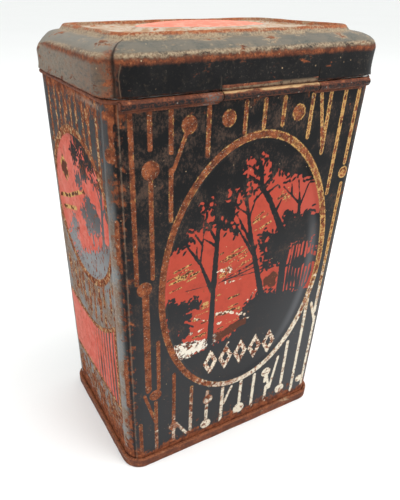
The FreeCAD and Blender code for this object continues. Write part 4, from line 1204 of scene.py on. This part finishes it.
def lid_finish():
    """The lid's black paint, browned and rubbed along its edges, with a red oval on its dome."""
    finish = Finish("lid_paint")
    inset, crack, dome, slit = (finish.field(name) for name in ("inset", "crack", "dome", "slit"))
    flake = finish.noise(2.0, 4.0, 0.65)
    patch = finish.noise(8.0, 4.0, 0.6, shift=6.0)
    streak = finish.noise(2.2, 4.0, 0.7, stretch=(3, 3, 1), shift=13.0)
    grain = finish.noise(0.7, 4.0, 0.7, shift=37.0)
    fray = flake - 0.5
    rust = rust_colour(finish)
    tan = finish.mix(grain.rise(0.35, 0.65), (0.22, 0.145, 0.088), (0.37, 0.285, 0.185))
    left = crack.rise(1.5, -0.5) * finish.x.rise(-46.0, -52.0)
    colour = lid_ground(finish, inset, left, patch, grain)

    foot_rub = (inset + fray * 1.8).rise(6.2, 8.6)
    edge_rub = (inset + fray * 0.8).near(0.9, 0.9)
    rub = foot_rub.most(edge_rub) * (streak * 0.7 + grain * 0.3).rise(0.36, 0.56)
    blot = (streak + patch * 0.4).rise(0.74, 0.82) * inset.rise(1.5, 2.5)
    colour = finish.mix(rub.most(blot * 0.7), colour, tan)
    edge = (finish.z + fray * 2.0).near(SHOULDER - 0.3, 1.5) * inset.rise(1.4, 0.9)
    foot = (finish.z + fray * 1.5).near(SKIRT_FOOT, 0.8) * (0.4 + left * 0.6)
    spots = (streak * 0.7 + patch * 0.5 + left * 0.035).rise(0.70, 0.76)
    rusty = edge.most(foot).most(spots * (1 - inset.rise(6.0, 8.0)))
    colour = finish.mix(rusty * 0.92, colour, finish.mix(grain.rise(0.62, 0.5), DARK_RUST, rust))

    colour = put_foot_highlight(finish, colour, flake, fray)
    ridge = (inset + fray * 0.7).rise(STEP_INSET + 0.5, STEP_INSET + 1.0)
    colour = put_lid_top(finish, colour, ridge, inset, dome, streak, grain, fray, tan)
    torn = (crack + fray * 0.7).near(0.0, 1.55) * finish.z.rise(182.6, 181.8)
    colour = put_tear(finish, colour, torn, crack, slit, flake, grain)
    fleck = finish.specks(3.4, 0.1) * flake.rise(0.48, 0.58) * 0.8
    colour = finish.mix(fleck, colour, TAN)
    roughness = 0.46 + rusty * 0.3 + patch * 0.1 + ridge * 0.15
    height = rusty * flake * 0.12 + streak * 0.04 - torn * 0.2
    return finish.done(colour, roughness, height, 0.5, level=0.12)


def floor_finish():
    """A pale, even floor."""
    finish = Finish("floor")
    tone = finish.noise(400.0, 2.0)
    colour = finish.mix(tone, (0.90, 0.905, 0.90), (0.93, 0.935, 0.93))
    return finish.done(colour, 0.9, 0.0, 0.0, level=0.1)


def make_floor():
    """A flat square, 24 m wide, at the height of the table."""
    half = 12000.0
    points = np.array([(-half, -half, 0), (half, -half, 0), (half, half, 0), (-half, half, 0)]) * MM
    mesh = bpy.data.meshes.new("floor")
    mesh.from_pydata(points.tolist(), [], [(0, 1, 2, 3)])
    mesh.materials.append(floor_finish())
    floor = bpy.data.objects.new("floor", mesh)
    bpy.context.scene.collection.objects.link(floor)


LAMPS = (("key", (0.5, -0.45, 1.0), 0.9, 9.0),         # name, place, width and power
         ("fill", (-0.7, 0.3, 0.9), 0.8, 3.0))
LAMP_AIM = Vector((0, 0, 0.08))


def make_lights():
    """White surroundings, and a broad soft lamp over the front right of the tin."""
    scene = bpy.context.scene
    scene.view_settings.view_transform = "Standard"
    world = bpy.data.worlds.new("studio")
    world.use_nodes = True
    world.node_tree.nodes["Background"].inputs["Color"].default_value = (0.985, 1.0, 0.995, 1.0)
    world.node_tree.nodes["Background"].inputs["Strength"].default_value = 1.0
    scene.world = world
    for name, place, size, power in LAMPS:
        lamp = bpy.data.lights.new(name, "AREA")
        lamp.size = size
        lamp.energy = power
        holder = bpy.data.objects.new(name, lamp)
        holder.location = place
        holder.rotation_euler = (LAMP_AIM - Vector(place)).to_track_quat("-Z", "Y").to_euler()
        scene.collection.objects.link(holder)


CAMERA_AWAY = 0.249                                    # metres


def make_camera():
    """A camera 0.25 m from the tin, a little above its lid, looking down on two sides of it."""
    azimuth, elevation, roll = (math.radians(angle) for angle in (-28.89, 33.78, 0.54))
    level = math.cos(elevation)
    back = Vector((math.sin(azimuth) * level, -math.cos(azimuth) * level, math.sin(elevation)))
    across = Vector((0, 0, 1)).cross(back).normalized()
    above = back.cross(across)
    right = across * math.cos(roll) + above * math.sin(roll)
    above = above * math.cos(roll) - across * math.sin(roll)
    aim = Vector((-8.43, 4.65, 57.6)) * MM
    lens = bpy.data.cameras.new("camera")
    lens.sensor_width = 36.0
    lens.lens = 34.3
    lens.shift_x, lens.shift_y = 0.0497, 0.104
    lens.clip_start, lens.clip_end = 0.01, 60.0
    camera = bpy.data.objects.new("camera", lens)
    turn = Matrix((right, above, back)).transposed()
    camera.matrix_world = Matrix.Translation(aim + back * CAMERA_AWAY) @ turn.to_4x4()
    bpy.context.scene.collection.objects.link(camera)
    bpy.context.scene.camera = camera


inside = inner_finish()
rusted = rusted_finish()
make_walls([printed_finish(), inside], [weathered_finish(), inside])
make_bottom_seam(rusted)
make_upper_bead(rusted)
make_curls(curl_finish())
make_lid([lid_finish(), inside])
for node, finish in (("neck_collar", inside), ("hinge_wire", rusted)):
    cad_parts[node].data.materials.clear()
    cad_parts[node].data.materials.append(finish)
make_floor()
make_lights()
make_camera()
